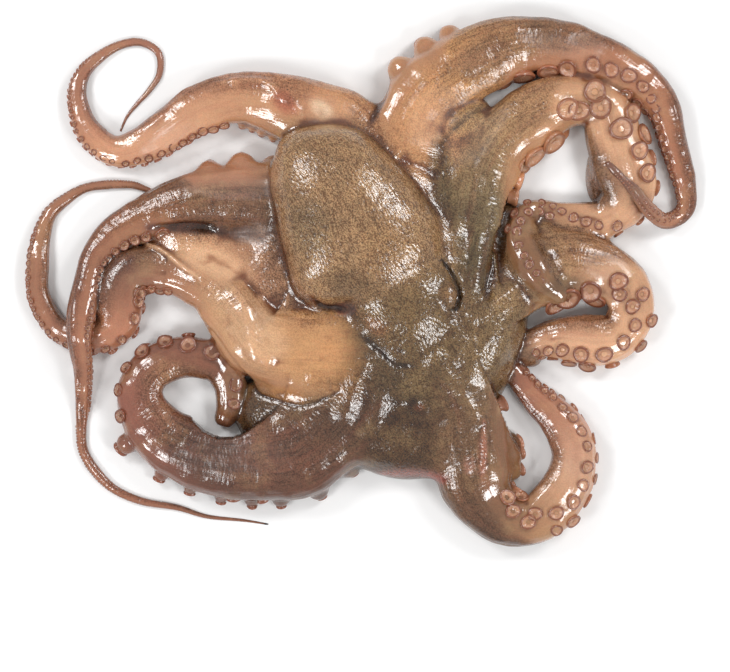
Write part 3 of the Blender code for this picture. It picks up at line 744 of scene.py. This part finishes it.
def linear(tone):
    """Screen red, green and blue up to 255, as the light values that a shader works in."""
    tone = np.clip(np.asarray(tone, dtype=float) / 255, 0, 1)
    return OWN_SHARE * np.where(tone < 0.04045, tone / 12.92, ((tone + 0.055) / 1.055) ** 2.4)


def put_attribute(piece, name, kind, values):
    """A value on each point of a piece: a colour, a vector or a single number."""
    store = piece.data.attributes.new(name, kind, "POINT")
    values = np.asarray(values, dtype=np.float32)
    if kind == "FLOAT_COLOR":
        values = np.column_stack([values, np.ones(len(values), dtype=np.float32)])
    field = {"FLOAT_COLOR": "color", "FLOAT_VECTOR": "vector", "FLOAT": "value"}[kind]
    store.data.foreach_set(field, values.ravel())


def edges_of(piece):
    """Pairs of joined points."""
    pairs = np.empty(len(piece.data.edges) * 2, dtype=np.int32)
    piece.data.edges.foreach_get("vertices", pairs)
    return pairs.reshape(-1, 2)


def normals_of(piece):
    """Outward directions at a piece's points."""
    out = np.empty(len(piece.data.vertices) * 3, dtype=np.float32)
    piece.data.vertices.foreach_get("normal", out)
    return out.reshape(-1, 3)


def finish_points(piece, painted_shade_hollows=None):
    """Tone, mask and lie on every point: mask is back skin, mantle grooves and lengthwise wrinkles; the tone gets
    painted shade in hollows and a faint painted light on bulges.
    """
    points = points_of(piece)
    lie = lie_of(points)
    tone, weight = skin_tones(points, lie)
    depth, run, roll = lie
    best = np.argmin(depth, axis=0)
    pick = (best, np.arange(len(points)))
    order = np.sort(depth, axis=0)
    alone = eased(order[1] - order[0], 1.0, 6.0) * weight[pick]
    oral = np.zeros(len(points))
    bare = np.zeros(len(points))
    width = np.zeros(len(points))
    for row, line in enumerate(LINES.values()):
        mine = best == row
        oral[mine] = np.radians(180 - read(line, "oral", run[row, mine]))
        bare[mine] = read(line, "bare", run[row, mine])
        width[mine] = read(line, "half_width", run[row, mine])
    flank = eased(np.cos(roll[pick] - oral) + bare, -0.35, 0.40)
    arms = weight[:len(LINES)].sum(0)
    mantle, head = weight[len(LINES)], weight[len(LINES) + 1]
    back = np.clip(arms * (1 - flank) + (1 - arms), 0, 1)
    for patch in SLEEK:
        back = back * (1 - spread(patch, points[:, 0], points[:, 1]))
    # Painted shade: darken and redden the tone where the skin is hollow, in creases and between forms; painted light:
    # lift it a little on bulges.
    if painted_shade_hollows is not None:
        dark = eased(painted_shade_hollows, 0.05, 1.3)[:, None]
        light = eased(-painted_shade_hollows, 0.1, 1.4)[:, None]
        tone = tone * (1 - dark * np.array([0.42, 0.55, 0.62])) * (1 + light * 0.05)
    put_attribute(piece, "tone", "FLOAT_COLOR", linear(tone))
    dull = np.zeros(len(points))
    for patch in DULL:
        dull = np.maximum(dull, spread(patch, points[:, 0], points[:, 1]))
    put_attribute(piece, "dull", "FLOAT", dull)
    put_attribute(piece, "mask", "FLOAT_COLOR", np.column_stack([back, mantle, alone]))
    put_attribute(piece, "lie", "FLOAT_VECTOR",
                  np.column_stack([run[pick] * MM, roll[pick] * width * MM, best * 0.37]))


class Wire:
    """A socket's value in a sum: each operator adds the Math node that it names."""

    def __init__(self, finish, socket):
        self.finish = finish
        self.socket = socket

    def math(self, operation, *parts):
        return self.finish.node("ShaderNodeMath", {"operation": operation}, dict(enumerate(parts)))

    def __add__(self, other):
        return self.math("ADD", self, other)

    def __sub__(self, other):
        return self.math("SUBTRACT", self, other)

    def __rsub__(self, other):
        return self.math("SUBTRACT", other, self)

    def __mul__(self, other):
        return self.math("MULTIPLY", self, other)

    def __gt__(self, other):
        return self.math("GREATER_THAN", self, other)

    def __lt__(self, other):
        return self.math("LESS_THAN", self, other)

    __radd__ = __add__
    __rmul__ = __mul__


class Finish:
    """A material, with the one way to add a node to it."""

    def __init__(self, name, **shader):
        self.material = bpy.data.materials.new(name)
        self.material.use_nodes = True
        self.tree = self.material.node_tree
        self.shader = self.tree.nodes["Principled BSDF"]
        for socket, value in shader.items():
            self.shader.inputs[socket.replace("_", " ")].default_value = value

    def plug(self, node, sockets):
        for socket, value in sockets.items():
            if isinstance(value, Wire):
                self.tree.links.new(value.socket, node.inputs[socket])
            else:
                node.inputs[socket].default_value = value

    def node(self, kind, settings=None, sockets=None, out=0):
        made = self.tree.nodes.new(kind)
        for setting, value in (settings or {}).items():
            setattr(made, setting, value)
        self.plug(made, sockets or {})
        return Wire(self, made.outputs[out])

    def noise(self, at, scale, detail=3.0, roughness=0.55, distortion=0.0):
        return self.node("ShaderNodeTexNoise", {}, {"Vector": at, "Scale": scale, "Detail": detail,
                                                    "Roughness": roughness, "Distortion": distortion}, "Fac")

    def stretched(self, at, scale, turn=0.0):
        return self.node("ShaderNodeMapping", {"vector_type": "TEXTURE"},
                         {"Vector": at, "Rotation": (0, 0, turn), "Scale": tuple(1 / k for k in scale)})

    def cells(self, at, scale):
        return self.node("ShaderNodeTexVoronoi", {}, {"Vector": at, "Scale": scale}, "Distance")

    def ramp(self, value, low, high):
        return self.node("ShaderNodeMapRange", {"interpolation_type": "SMOOTHSTEP"},
                         {"Value": value, "From Min": low, "From Max": high})

    def mix(self, share, first, second, blend="MIX"):
        return self.node("ShaderNodeMix", {"data_type": "RGBA", "blend_type": blend},
                         {0: share, 6: first, 7: second}, 2)

    def attribute(self, name, out="Color"):
        return self.node("ShaderNodeAttribute", {"attribute_name": name}, {}, out)

    def parts(self, colour):
        return [self.node("ShaderNodeSeparateColor", {}, {"Color": colour}, k) for k in range(3)]

    def bump(self, height, distance, strength=1.0):
        return self.node("ShaderNodeBump", {}, {"Height": height, "Distance": distance,
                                                "Strength": strength}, "Normal")


def skin_finish():
    """Wet skin: its tone (with painted shade and highlights baked in), blotches, dark specks and a fine grain on the
    back, painted shade in the fine grooves, sleek on the flanks.
    """
    skin = Finish("wet_skin", IOR=1.5, Specular_IOR_Level=0.9, Coat_Roughness=0.04, Coat_IOR=1.4,
                  Subsurface_Weight=0.12, Subsurface_Scale=0.004)
    at = skin.node("ShaderNodeTexCoord", out="Object")
    back, mantle, alone = skin.parts(skin.attribute("mask"))
    lie = skin.attribute("lie", "Vector")
    dull = skin.attribute("dull", "Fac")

    blotch = skin.noise(at, 38, 4, 0.6)
    mottle = skin.noise(at, 150, 5, 0.62)
    grain = skin.noise(at, 960, 1.0, 0.5)
    strands = skin.noise(skin.stretched(lie, (14, 170, 1)), 1.0, 4, 0.6)
    drift = skin.node("ShaderNodeVectorMath", {"operation": "MULTIPLY_ADD"},
                      {0: skin.node("ShaderNodeTexNoise", {}, {"Vector": at, "Scale": 14.0, "Detail": 1.0}, "Color"),
                       1: (0.016, 0.016, 0.016), 2: at})
    pleats = skin.cells(skin.stretched(drift, (200, 520, 300), -1.0), 1.0)
    sway = skin.node("ShaderNodeVectorMath", {"operation": "MULTIPLY_ADD"},
                     {0: skin.node("ShaderNodeTexNoise", {}, {"Vector": at, "Scale": 60.0, "Detail": 1.0}, "Color"),
                      1: (0.006, 0.006, 0.0), 2: lie})
    ripples = skin.cells(skin.stretched(sway, (420, 170, 1)), 1.0)
    pebbles = skin.cells(skin.stretched(drift, (470, 330, 400), 0.6), 1.0) * (1 - alone) + ripples * alone
    creases = skin.noise(skin.stretched(drift, (330, 980, 600), -1.0), 1.0, 2, 0.5)
    tiles = pleats * mantle + pebbles * (1 - mantle)
    wrinkles = skin.noise(skin.stretched(lie, (36, 400, 1)), 1.0, 3, 0.55, 0.4)
    speck = skin.cells(at, 250.0)
    dots = skin.cells(at, 520.0)

    colour = skin.attribute("tone")
    colour = skin.mix(skin.ramp(blotch, 0.42, 0.68) * (0.06 + 0.20 * back), colour, (0.13, 0.085, 0.05, 1))
    colour = skin.mix(skin.ramp(blotch, 0.52, 0.30) * 0.16, colour, (0.62, 0.42, 0.20, 1))
    colour = skin.mix(skin.ramp(strands, 0.48, 0.68) * alone * 0.20, colour, (0.36, 0.12, 0.07, 1))
    # Darker with the mottle, grain and crease pattern, and darker along the tile borders and wrinkle lines that the
    # bump below sinks as grooves, which is painted shade in those grooves.
    shade = (skin.ramp(mottle, 0.48, 0.72) * (0.05 + 0.22 * back)
             + skin.ramp(grain, 0.38, 0.64) * (0.22 + 0.55 * back)
             + skin.ramp(tiles, 0.45, 0.85) * (0.04 + 0.22 * back)
             + skin.ramp(creases, 0.48, 0.66) * (0.30 + 0.25 * mantle) * back
             + skin.ramp(wrinkles, 0.46, 0.66) * (0.08 + 0.40 * back) * alone)
    colour = skin.mix(shade * (1 - 0.30 * alone), colour, (0.30, 0.24, 0.20, 1), "MULTIPLY")
    colour = skin.mix((speck < 0.13) * back * 0.7, colour, (0.03, 0.022, 0.018, 1))
    colour = skin.mix((dots < 0.2) * (1 - back) * 0.22, colour, (0.36, 0.13, 0.07, 1))

    height = (grain * (0.02 + 0.05 * back) + mottle * (0.12 + 0.40 * back) + (strands * 0.35 - wrinkles * 0.22) * alone
              - tiles * (0.08 + 0.18 * back + 0.02 * mantle))
    skin.plug(skin.shader, {
        "Base Color": colour,
        "Roughness": 0.05 + 0.02 * back + 0.08 * mottle + 0.70 * dull,
        "Coat Weight": 0.40 - 0.40 * back,
        "Normal": skin.bump(height, 0.001, 1.0)})
    return skin.material


depth, axes = flesh_field()
points, quads = net_surface(depth, axes)
sides = np.vstack([quads[:, [0, 1]], quads[:, [1, 2]], quads[:, [2, 3]], quads[:, [3, 0]]])
sides = sides[sides[:, 0] < sides[:, 1]]
points = relaxed(points, sides, 3)
slope = np.stack([sampled(g, axes, points) for g in np.gradient(depth, CELL)], axis=-1)
steep = np.maximum((slope ** 2).sum(1), 0.15)
points = points - slope * (sampled(depth, axes, points) / steep)[:, None] * 0.8
points = relaxed(points, sides, 1)

outward = slope / np.sqrt(steep)[:, None]
lying = lie_of(points)
best = np.argmin(lying[0], axis=0)
pick = (best, np.arange(len(points)))
order = np.sort(lying[0], axis=0)
alone = eased(order[1] - order[0], 0.5, 5.0) * eased(2.5 - order[0], 0, 2)
girth = np.array([line["half_width"].mean() for line in LINES.values()])[best]
lengthwise = np.column_stack([lying[1][pick] / 42, lying[2][pick] * girth / 5.5, best * 3.3])
lift = folded(points)
crown = np.minimum.reduce([pouch(POUCHES["head"], *points.T)] + [dome(WEB[k], *points.T) for k in (0, 2, 4)])
taut = 1 - 0.65 * eased(-pouch(POUCHES["mantle"], *points.T), -3, 0) - 0.6 * eased(-crown, -6, 0)
taut = np.maximum(taut, 0.3)
lift += taut * (1.0 * lumps(points / 17, 3) + 0.4 * lumps(points / 6.5, 4))
lift += alone * (0.55 * lumps(lengthwise, 5) + 0.3 * lumps(lengthwise * [2, 2, 1], 6))
top_side = eased(outward[:, 2], -0.35, 0.25) * eased(points[:, 2], 1.0, 9.0)
points = points + outward * (lift * top_side)[:, None]
points[:, 2] = np.maximum(points[:, 2], 0)
skin = mesh_piece("octopus_skin", points, quads)
thin = skin.modifiers.new("thinned", "DECIMATE")
thin.ratio = min(1.0, SKIN_TRIANGLES / (2 * len(quads)))
worked_in(skin)
points = points_of(skin)
normals = normals_of(skin)
pairs = edges_of(skin)
# How hollow the skin is at each point, at a fine and a broad scale, for the painted shade in creases and the faint
# painted light on bulges.
painted_shade_hollows = (((relaxed(points, pairs, 5) - points) * normals).sum(1) * 1.5
           + ((relaxed(points, pairs, 60) - points) * normals).sum(1) * 0.6)
finish_points(skin, painted_shade_hollows)
skin.data.materials.append(skin_finish())
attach(skin, "root")
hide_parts("octopus")


# The arms' ends, thinner than the skin's own grid can carry: tapering tubes of the same wet skin that
# grow out of the thick part of each arm.
END_SIDES = 14


def arm_end(line):
    """Rings along the line from where the arm gets thin to the tip: an oval at each step, then a point."""
    start = max(int(np.argmax(line["half_width"] < THINNEST / 2)) - 6, 0)
    part = {key: value[start:] for key, value in line.items()}
    turn = np.arange(END_SIDES) / END_SIDES * 2 * np.pi
    side = part["half_width"][:, None] * np.cos(turn)
    rise = part["half_height"][:, None] * np.sin(turn)
    ring = np.empty((len(part["run"]), END_SIDES, 3))
    ring[..., :2] = part["xy"][:, None] + part["right"][:, None] * side[..., None]
    ring[..., 2] = np.maximum(part["centre_z"][:, None] + rise, 0.05)
    tip = np.append(part["xy"][-1] + part["along"][-1] * part["half_width"][-1], part["centre_z"][-1])
    return np.vstack([ring.reshape(-1, 3), tip])


def tube_faces(rings, sides):
    """Quads from ring to ring and triangles to the point at the end."""
    at = np.arange((rings - 1) * sides).reshape(rings - 1, sides)
    beside = np.roll(at, -1, axis=1)
    quads = np.stack([at, at + sides, beside + sides, beside], axis=-1).reshape(-1, 4)
    last = (rings - 1) * sides + np.arange(sides)
    cap = np.stack([last, np.full(sides, rings * sides), np.roll(last, -1)], axis=-1)
    return [*quads.tolist(), *cap.tolist()]


end_points = []
end_faces = []
count = 0
for line in LINES.values():
    if line["half_width"].min() < THINNEST / 2:
        tube = arm_end(line)
        rings = (len(tube) - 1) // END_SIDES
        end_faces += [[k + count for k in face] for face in tube_faces(rings, END_SIDES)]
        end_points.append(tube)
        count += len(tube)
end_mesh = bpy.data.meshes.new("arm_ends")
end_mesh.from_pydata(((np.vstack(end_points) + CENTRING) * MM).tolist(), [], end_faces)
end_mesh.validate()
end_mesh.shade_smooth()
ends = bpy.data.objects.new("arm_ends", end_mesh)
bpy.context.scene.collection.objects.link(ends)
finish_points(ends)
ends.data.materials.append(skin.data.materials[0])
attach(ends, "root")


# The suckers. Two rows of fleshy cups run down the oral side of every arm, each with a raised rim, a
# finely ribbed bowl and a deep little hole. They shrink towards the tip and turn with the arm.
ROW_ANGLE = 26.0
CUP_GAP = 1.14
# Profile from the foot over the rim into the hole: (reach, height), both over the cup's radius.
CUPS = {
    "fine": (20, [(0.70, -0.60), (0.76, -0.15), (0.92, 0.06), (1.0, 0.20), (0.98, 0.32), (0.88, 0.38),
                  (0.75, 0.31), (0.52, 0.17), (0.34, 0.10), (0.27, 0.03), (0.23, -0.20), (0.0, -0.26)]),
    "middle": (14, [(0.72, -0.55), (0.80, -0.08), (1.0, 0.18), (0.96, 0.33), (0.79, 0.32), (0.45, 0.13),
                    (0.28, 0.05), (0.22, -0.16), (0.0, -0.20)]),
    "small": (9, [(0.76, -0.5), (1.0, 0.18), (0.86, 0.32), (0.42, 0.10), (0.24, -0.06), (0.0, -0.12)]),
    "least": (6, [(0.8, -0.5), (1.0, 0.20), (0.55, 0.26), (0.0, 0.0)]),
}
CUP_LIMITS = {"fine": 4.2, "middle": 2.2, "small": 1.1, "least": 0.0}


def cup_rows(name, seed):
    """Where an arm's cups stand: centre, outward axis, radius and run, for both rows."""
    line = LINES[name]
    first, last = ARMS[name]["suckers"]
    sizes = np.array(ARMS[name]["cup_size"])
    chance = np.random.default_rng(seed)
    rows = []
    for side in (-1, 1):
        run = line["run"][-1] * first
        if side > 0:
            run += CUP_GAP * sizes[0, 1] * read(line, "half_width", run)
        while run < line["run"][-1] * last:
            place = run / line["run"][-1]
            radius = np.interp(place, sizes[:, 0], sizes[:, 1]) * read(line, "half_width", run)
            radius = max(radius, 0.42) * chance.uniform(0.88, 1.1)
            rows.append((run + chance.normal(0, 0.06) * radius, side, radius,
                         chance.normal(0, 3.0), chance.normal(0, 0.07), chance.normal(0, 0.07)))
            run += max(2 * radius * CUP_GAP, 1.1)
    run, side, radius, sway, lean, nod = np.array(rows).T
    angle = np.radians(180 - (read(line, "oral", run) + side * ROW_ANGLE + sway))
    wide, high = read(line, "half_width", run), read(line, "half_height", run)
    across, upward = np.sin(angle), np.cos(angle)
    reach = ((np.abs(across) / wide) ** SQUARENESS + (np.abs(upward) / high) ** SQUARENESS) ** (-1 / SQUARENESS)
    lean_out = np.sign(across) * (np.abs(across) * reach / wide) ** (SQUARENESS - 1) / wide
    lean_up = np.sign(upward) * (np.abs(upward) * reach / high) ** (SQUARENESS - 1) / high
    spot = np.stack([read_xy(line, run, k) for k in (0, 1)], axis=-1)
    right = np.stack([np.interp(run, line["run"], line["right"][:, k]) for k in (0, 1)], axis=-1)
    right /= np.linalg.norm(right, axis=1)[:, None]
    ahead = np.column_stack([-right[:, 1], right[:, 0]])
    centre = np.column_stack([spot + right * (across * reach)[:, None],
                              read(line, "centre_z", run) + upward * reach])
    size = np.hypot(lean_out, lean_up)
    axis = np.column_stack([right * (lean_out / size)[:, None] + ahead * nod[:, None], lean_up / size + lean])
    axis[:, 2] += 0.45 * eased(axis[:, 2], -0.25, 0.15) * (1 - axis[:, 2])
    axis /= np.linalg.norm(axis, axis=1)[:, None]
    return centre, axis, radius, run


def read_xy(line, run, k):
    """One ground coordinate of the line at a run."""
    return np.interp(run, line["run"], line["xy"][:, k])


def cup_mesh(centre, axis, radius, kind):
    """Cups of one fineness: the profile turned about each axis, as rings from foot to hole."""
    sides, profile = CUPS[kind]
    profile = np.array(profile)
    turn = np.arange(sides) / sides * 2 * np.pi
    across = np.cross(axis, [0.0, 0.0, 1.0])
    flat = np.linalg.norm(across, axis=1) < 0.05
    across[flat] = np.cross(axis[flat], [1.0, 0.0, 0.0])
    across /= np.linalg.norm(across, axis=1)[:, None]
    over = np.cross(axis, across)
    chance = np.random.default_rng(len(centre))
    wave = chance.uniform(0, 2 * np.pi, (len(centre), 2, 1))
    oval = 1 + 0.07 * np.cos(2 * turn + wave[:, 0]) + 0.04 * np.cos(3 * turn + wave[:, 1])
    reach = radius[:, None, None] * profile[None, :-1, 0, None] * oval[:, None]
    out = (reach[..., None] * (np.cos(turn)[:, None] * across[:, None, None]
                               + np.sin(turn)[:, None] * over[:, None, None]))
    rise = (radius[:, None] * profile[None, :, 1])[..., None] * axis[:, None]
    ring = centre[:, None, None] + out + rise[:, :-1, None]
    hole = centre + rise[:, -1]
    count = len(profile) - 1
    points = np.concatenate([ring.reshape(len(centre), -1, 3), hole[:, None]], axis=1)
    at = np.arange((count - 1) * sides).reshape(count - 1, sides)
    beside = np.roll(at, -1, axis=1)
    quads = np.stack([at, beside, beside + sides, at + sides], axis=-1).reshape(-1, 4)
    last = (count - 1) * sides + np.arange(sides)
    fan = np.stack([last, np.roll(last, -1), np.full(sides, count * sides)], axis=-1)
    across_cup = np.append(np.repeat(np.arange(count) / count, sides), 1.0)
    around_cup = np.append(np.tile(turn, count), 0.0)
    size = count * sides + 1
    shift = np.arange(len(centre))[:, None, None] * size
    return (points.reshape(-1, 3), (quads + shift).reshape(-1, 4).tolist() + (fan + shift).reshape(-1, 3).tolist(),
            np.tile(np.column_stack([across_cup, around_cup]), (len(centre), 1)), size)


def cup_finish():
    """Wet sucker flesh: brown-red foot and rim, paler bowl with fine ribs, and a hole darkened with painted shade."""
    cup = Finish("sucker_flesh", IOR=1.5, Specular_IOR_Level=0.8, Coat_Roughness=0.05, Coat_IOR=1.4, Subsurface_Weight=0.15,
                 Subsurface_Scale=0.003)
    across, around, dark = cup.parts(cup.attribute("cup"))
    at = cup.node("ShaderNodeTexCoord", out="Object")
    tone = cup.attribute("tone")
    fine = cup.noise(at, 480, 3)
    ribs = cup.node("ShaderNodeMath", {"operation": "SINE"}, {0: around * 26})
    rim = cup.ramp(across, 0.30, 0.40) - cup.ramp(across, 0.52, 0.60)
    bowl = cup.ramp(across, 0.52, 0.62) - cup.ramp(across, 0.80, 0.90)
    hole = cup.ramp(across, 0.80, 0.93)
    wall = cup.mix(0.55, tone, (0.30, 0.11, 0.06, 1))
    colour = cup.mix(0.35 + 0.65 * dark, tone, wall)
    colour = cup.mix(rim * (0.25 + 0.65 * dark), colour, (0.15, 0.045, 0.022, 1))
    colour = cup.mix(bowl * 0.9, colour, cup.mix(0.45, tone, (0.84, 0.52, 0.34, 1)))
    colour = cup.mix(bowl * cup.ramp(ribs, 0.2, 1.0) * 0.35, colour, (0.36, 0.15, 0.08, 1))
    # Painted shade: the hole is coloured near black.
    colour = cup.mix(hole * 0.75, colour, (0.16, 0.055, 0.03, 1))
    colour = cup.mix(cup.ramp(fine, 0.48, 0.7) * 0.3, colour, (0.28, 0.10, 0.05, 1))
    cup.plug(cup.shader, {"Base Color": colour, "Roughness": 0.14 + 0.14 * fine, "Coat Weight": 0.5 * bowl,
                          "Normal": cup.bump(fine + 0.5 * ribs * bowl, 0.0004, 0.7)})
    return cup.material


cup_material = cup_finish()
for seed, name in enumerate(ARMS):
    centre, axis, radius, run = cup_rows(name, seed)
    mouth = centre + axis * (0.45 * radius)[:, None]
    kept = sampled(depth, axes, mouth) > 0.10 * radius
    lobes = lobes_of(name)
    for form, outward, at in lobes:
        kept &= (np.hypot(*(centre[:, :2] - form[:2]).T) > 1.9 * form[3]) | (axis[:, 2] < -0.35)
    centre, axis, radius, run = centre[kept], axis[kept], radius[kept], run[kept]
    for form, outward, at in lobes:
        dip = ARMS[name].get("lobe_dip", 0.51)
        facing = np.append(outward * np.sqrt(1 - dip ** 2), -dip)
        centre = np.vstack([centre, form[:3] + 0.80 * form[3] * facing])
        axis = np.vstack([axis, facing])
        radius = np.append(radius, 0.82 * form[3])
        run = np.append(run, at)
    cup_points, cup_faces, cup_places, count = [], [], [], 0
    cup_tones = []
    cup_darks = []
    upper = np.inf
    for kind, lower in CUP_LIMITS.items():
        group = (radius >= lower) & (radius < upper)
        upper = lower
        if not group.any():
            continue
        made, faces, place, size = cup_mesh(centre[group], axis[group], radius[group], kind)
        cup_points.append(made)
        cup_faces += [[k + count for k in face] for face in faces]
        cup_places.append(place)
        tones = along_table(ARMS[name]["cups"], run[group] / LINES[name]["run"][-1])
        tones = tones * np.random.default_rng(seed + 50).uniform(0.9, 1.08, (len(tones), 1))
        cup_tones.append(np.repeat(tones, size, axis=0))
        place_on_arm = run[group] / LINES[name]["run"][-1]
        darkness = np.interp(place_on_arm, *np.array(ARMS[name]["rims"]).T)
        cup_darks.append(np.repeat(darkness, size))
        count += len(made)
    cup_points = np.vstack(cup_points)
    cup_points[:, 2] = np.maximum(cup_points[:, 2], -0.12)
    mesh = bpy.data.meshes.new("suckers_" + name)
    mesh.from_pydata(((cup_points + CENTRING) * MM).tolist(), [], cup_faces)
    mesh.shade_smooth()
    cups = bpy.data.objects.new("suckers_" + name, mesh)
    bpy.context.scene.collection.objects.link(cups)
    put_attribute(cups, "tone", "FLOAT_COLOR", linear(np.vstack(cup_tones)))
    put_attribute(cups, "cup", "FLOAT_COLOR", np.column_stack([np.vstack(cup_places), np.concatenate(cup_darks)]))
    cups.data.materials.append(cup_material)
    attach(cups, "root")
    print(name, len(radius), "suckers", len(cup_faces), "faces")


# The bare white surface under the animal, soft lights and the camera straight above.
bpy.ops.mesh.primitive_plane_add(size=6, location=(0, 0, -0.0002))
floor = bpy.context.object
floor.name = "floor"
white = bpy.data.materials.new("white surface")
white.use_nodes = True
white.node_tree.nodes["Principled BSDF"].inputs["Base Color"].default_value = (0.9, 0.9, 0.9, 1)
floor.data.materials.append(white)

world = bpy.data.worlds.new("soft light")
world.use_nodes = True
world.node_tree.nodes["Background"].inputs["Color"].default_value = (1, 1, 1, 1)
world.node_tree.nodes["Background"].inputs["Strength"].default_value = 0.45
bpy.context.scene.world = world


LAMP_POWER = 8.0


def soft_light(name, location, size, power):
    lamp = bpy.data.lights.new(name, "AREA")
    lamp.shape = "RECTANGLE"
    lamp.size, lamp.size_y = size
    lamp.energy = power
    piece = bpy.data.objects.new(name, lamp)
    piece.location = location
    from mathutils import Vector
    piece.rotation_mode = "QUATERNION"
    piece.rotation_quaternion = (-Vector(location)).to_track_quat("-Z", "Y")
    bpy.context.scene.collection.objects.link(piece)


for side in (-1, 1):
    for end in (-1, 1):
        soft_light("lamp", (0.95 * side, 0.68 * end, 1.15), (0.42, 0.42), LAMP_POWER)

camera_data = bpy.data.cameras.new("camera")
camera_data.sensor_width = 36
HEIGHT = 2.0
camera_data.lens = 36 * HEIGHT / (730 * 0.7726 * MM)
camera = bpy.data.objects.new("camera", camera_data)
camera.location = (0.0008 + CENTRING[0] * MM, -0.0406 + CENTRING[1] * MM, HEIGHT)
bpy.context.scene.collection.objects.link(camera)
bpy.context.scene.camera = camera
bpy.context.scene.view_settings.view_transform = "Standard"
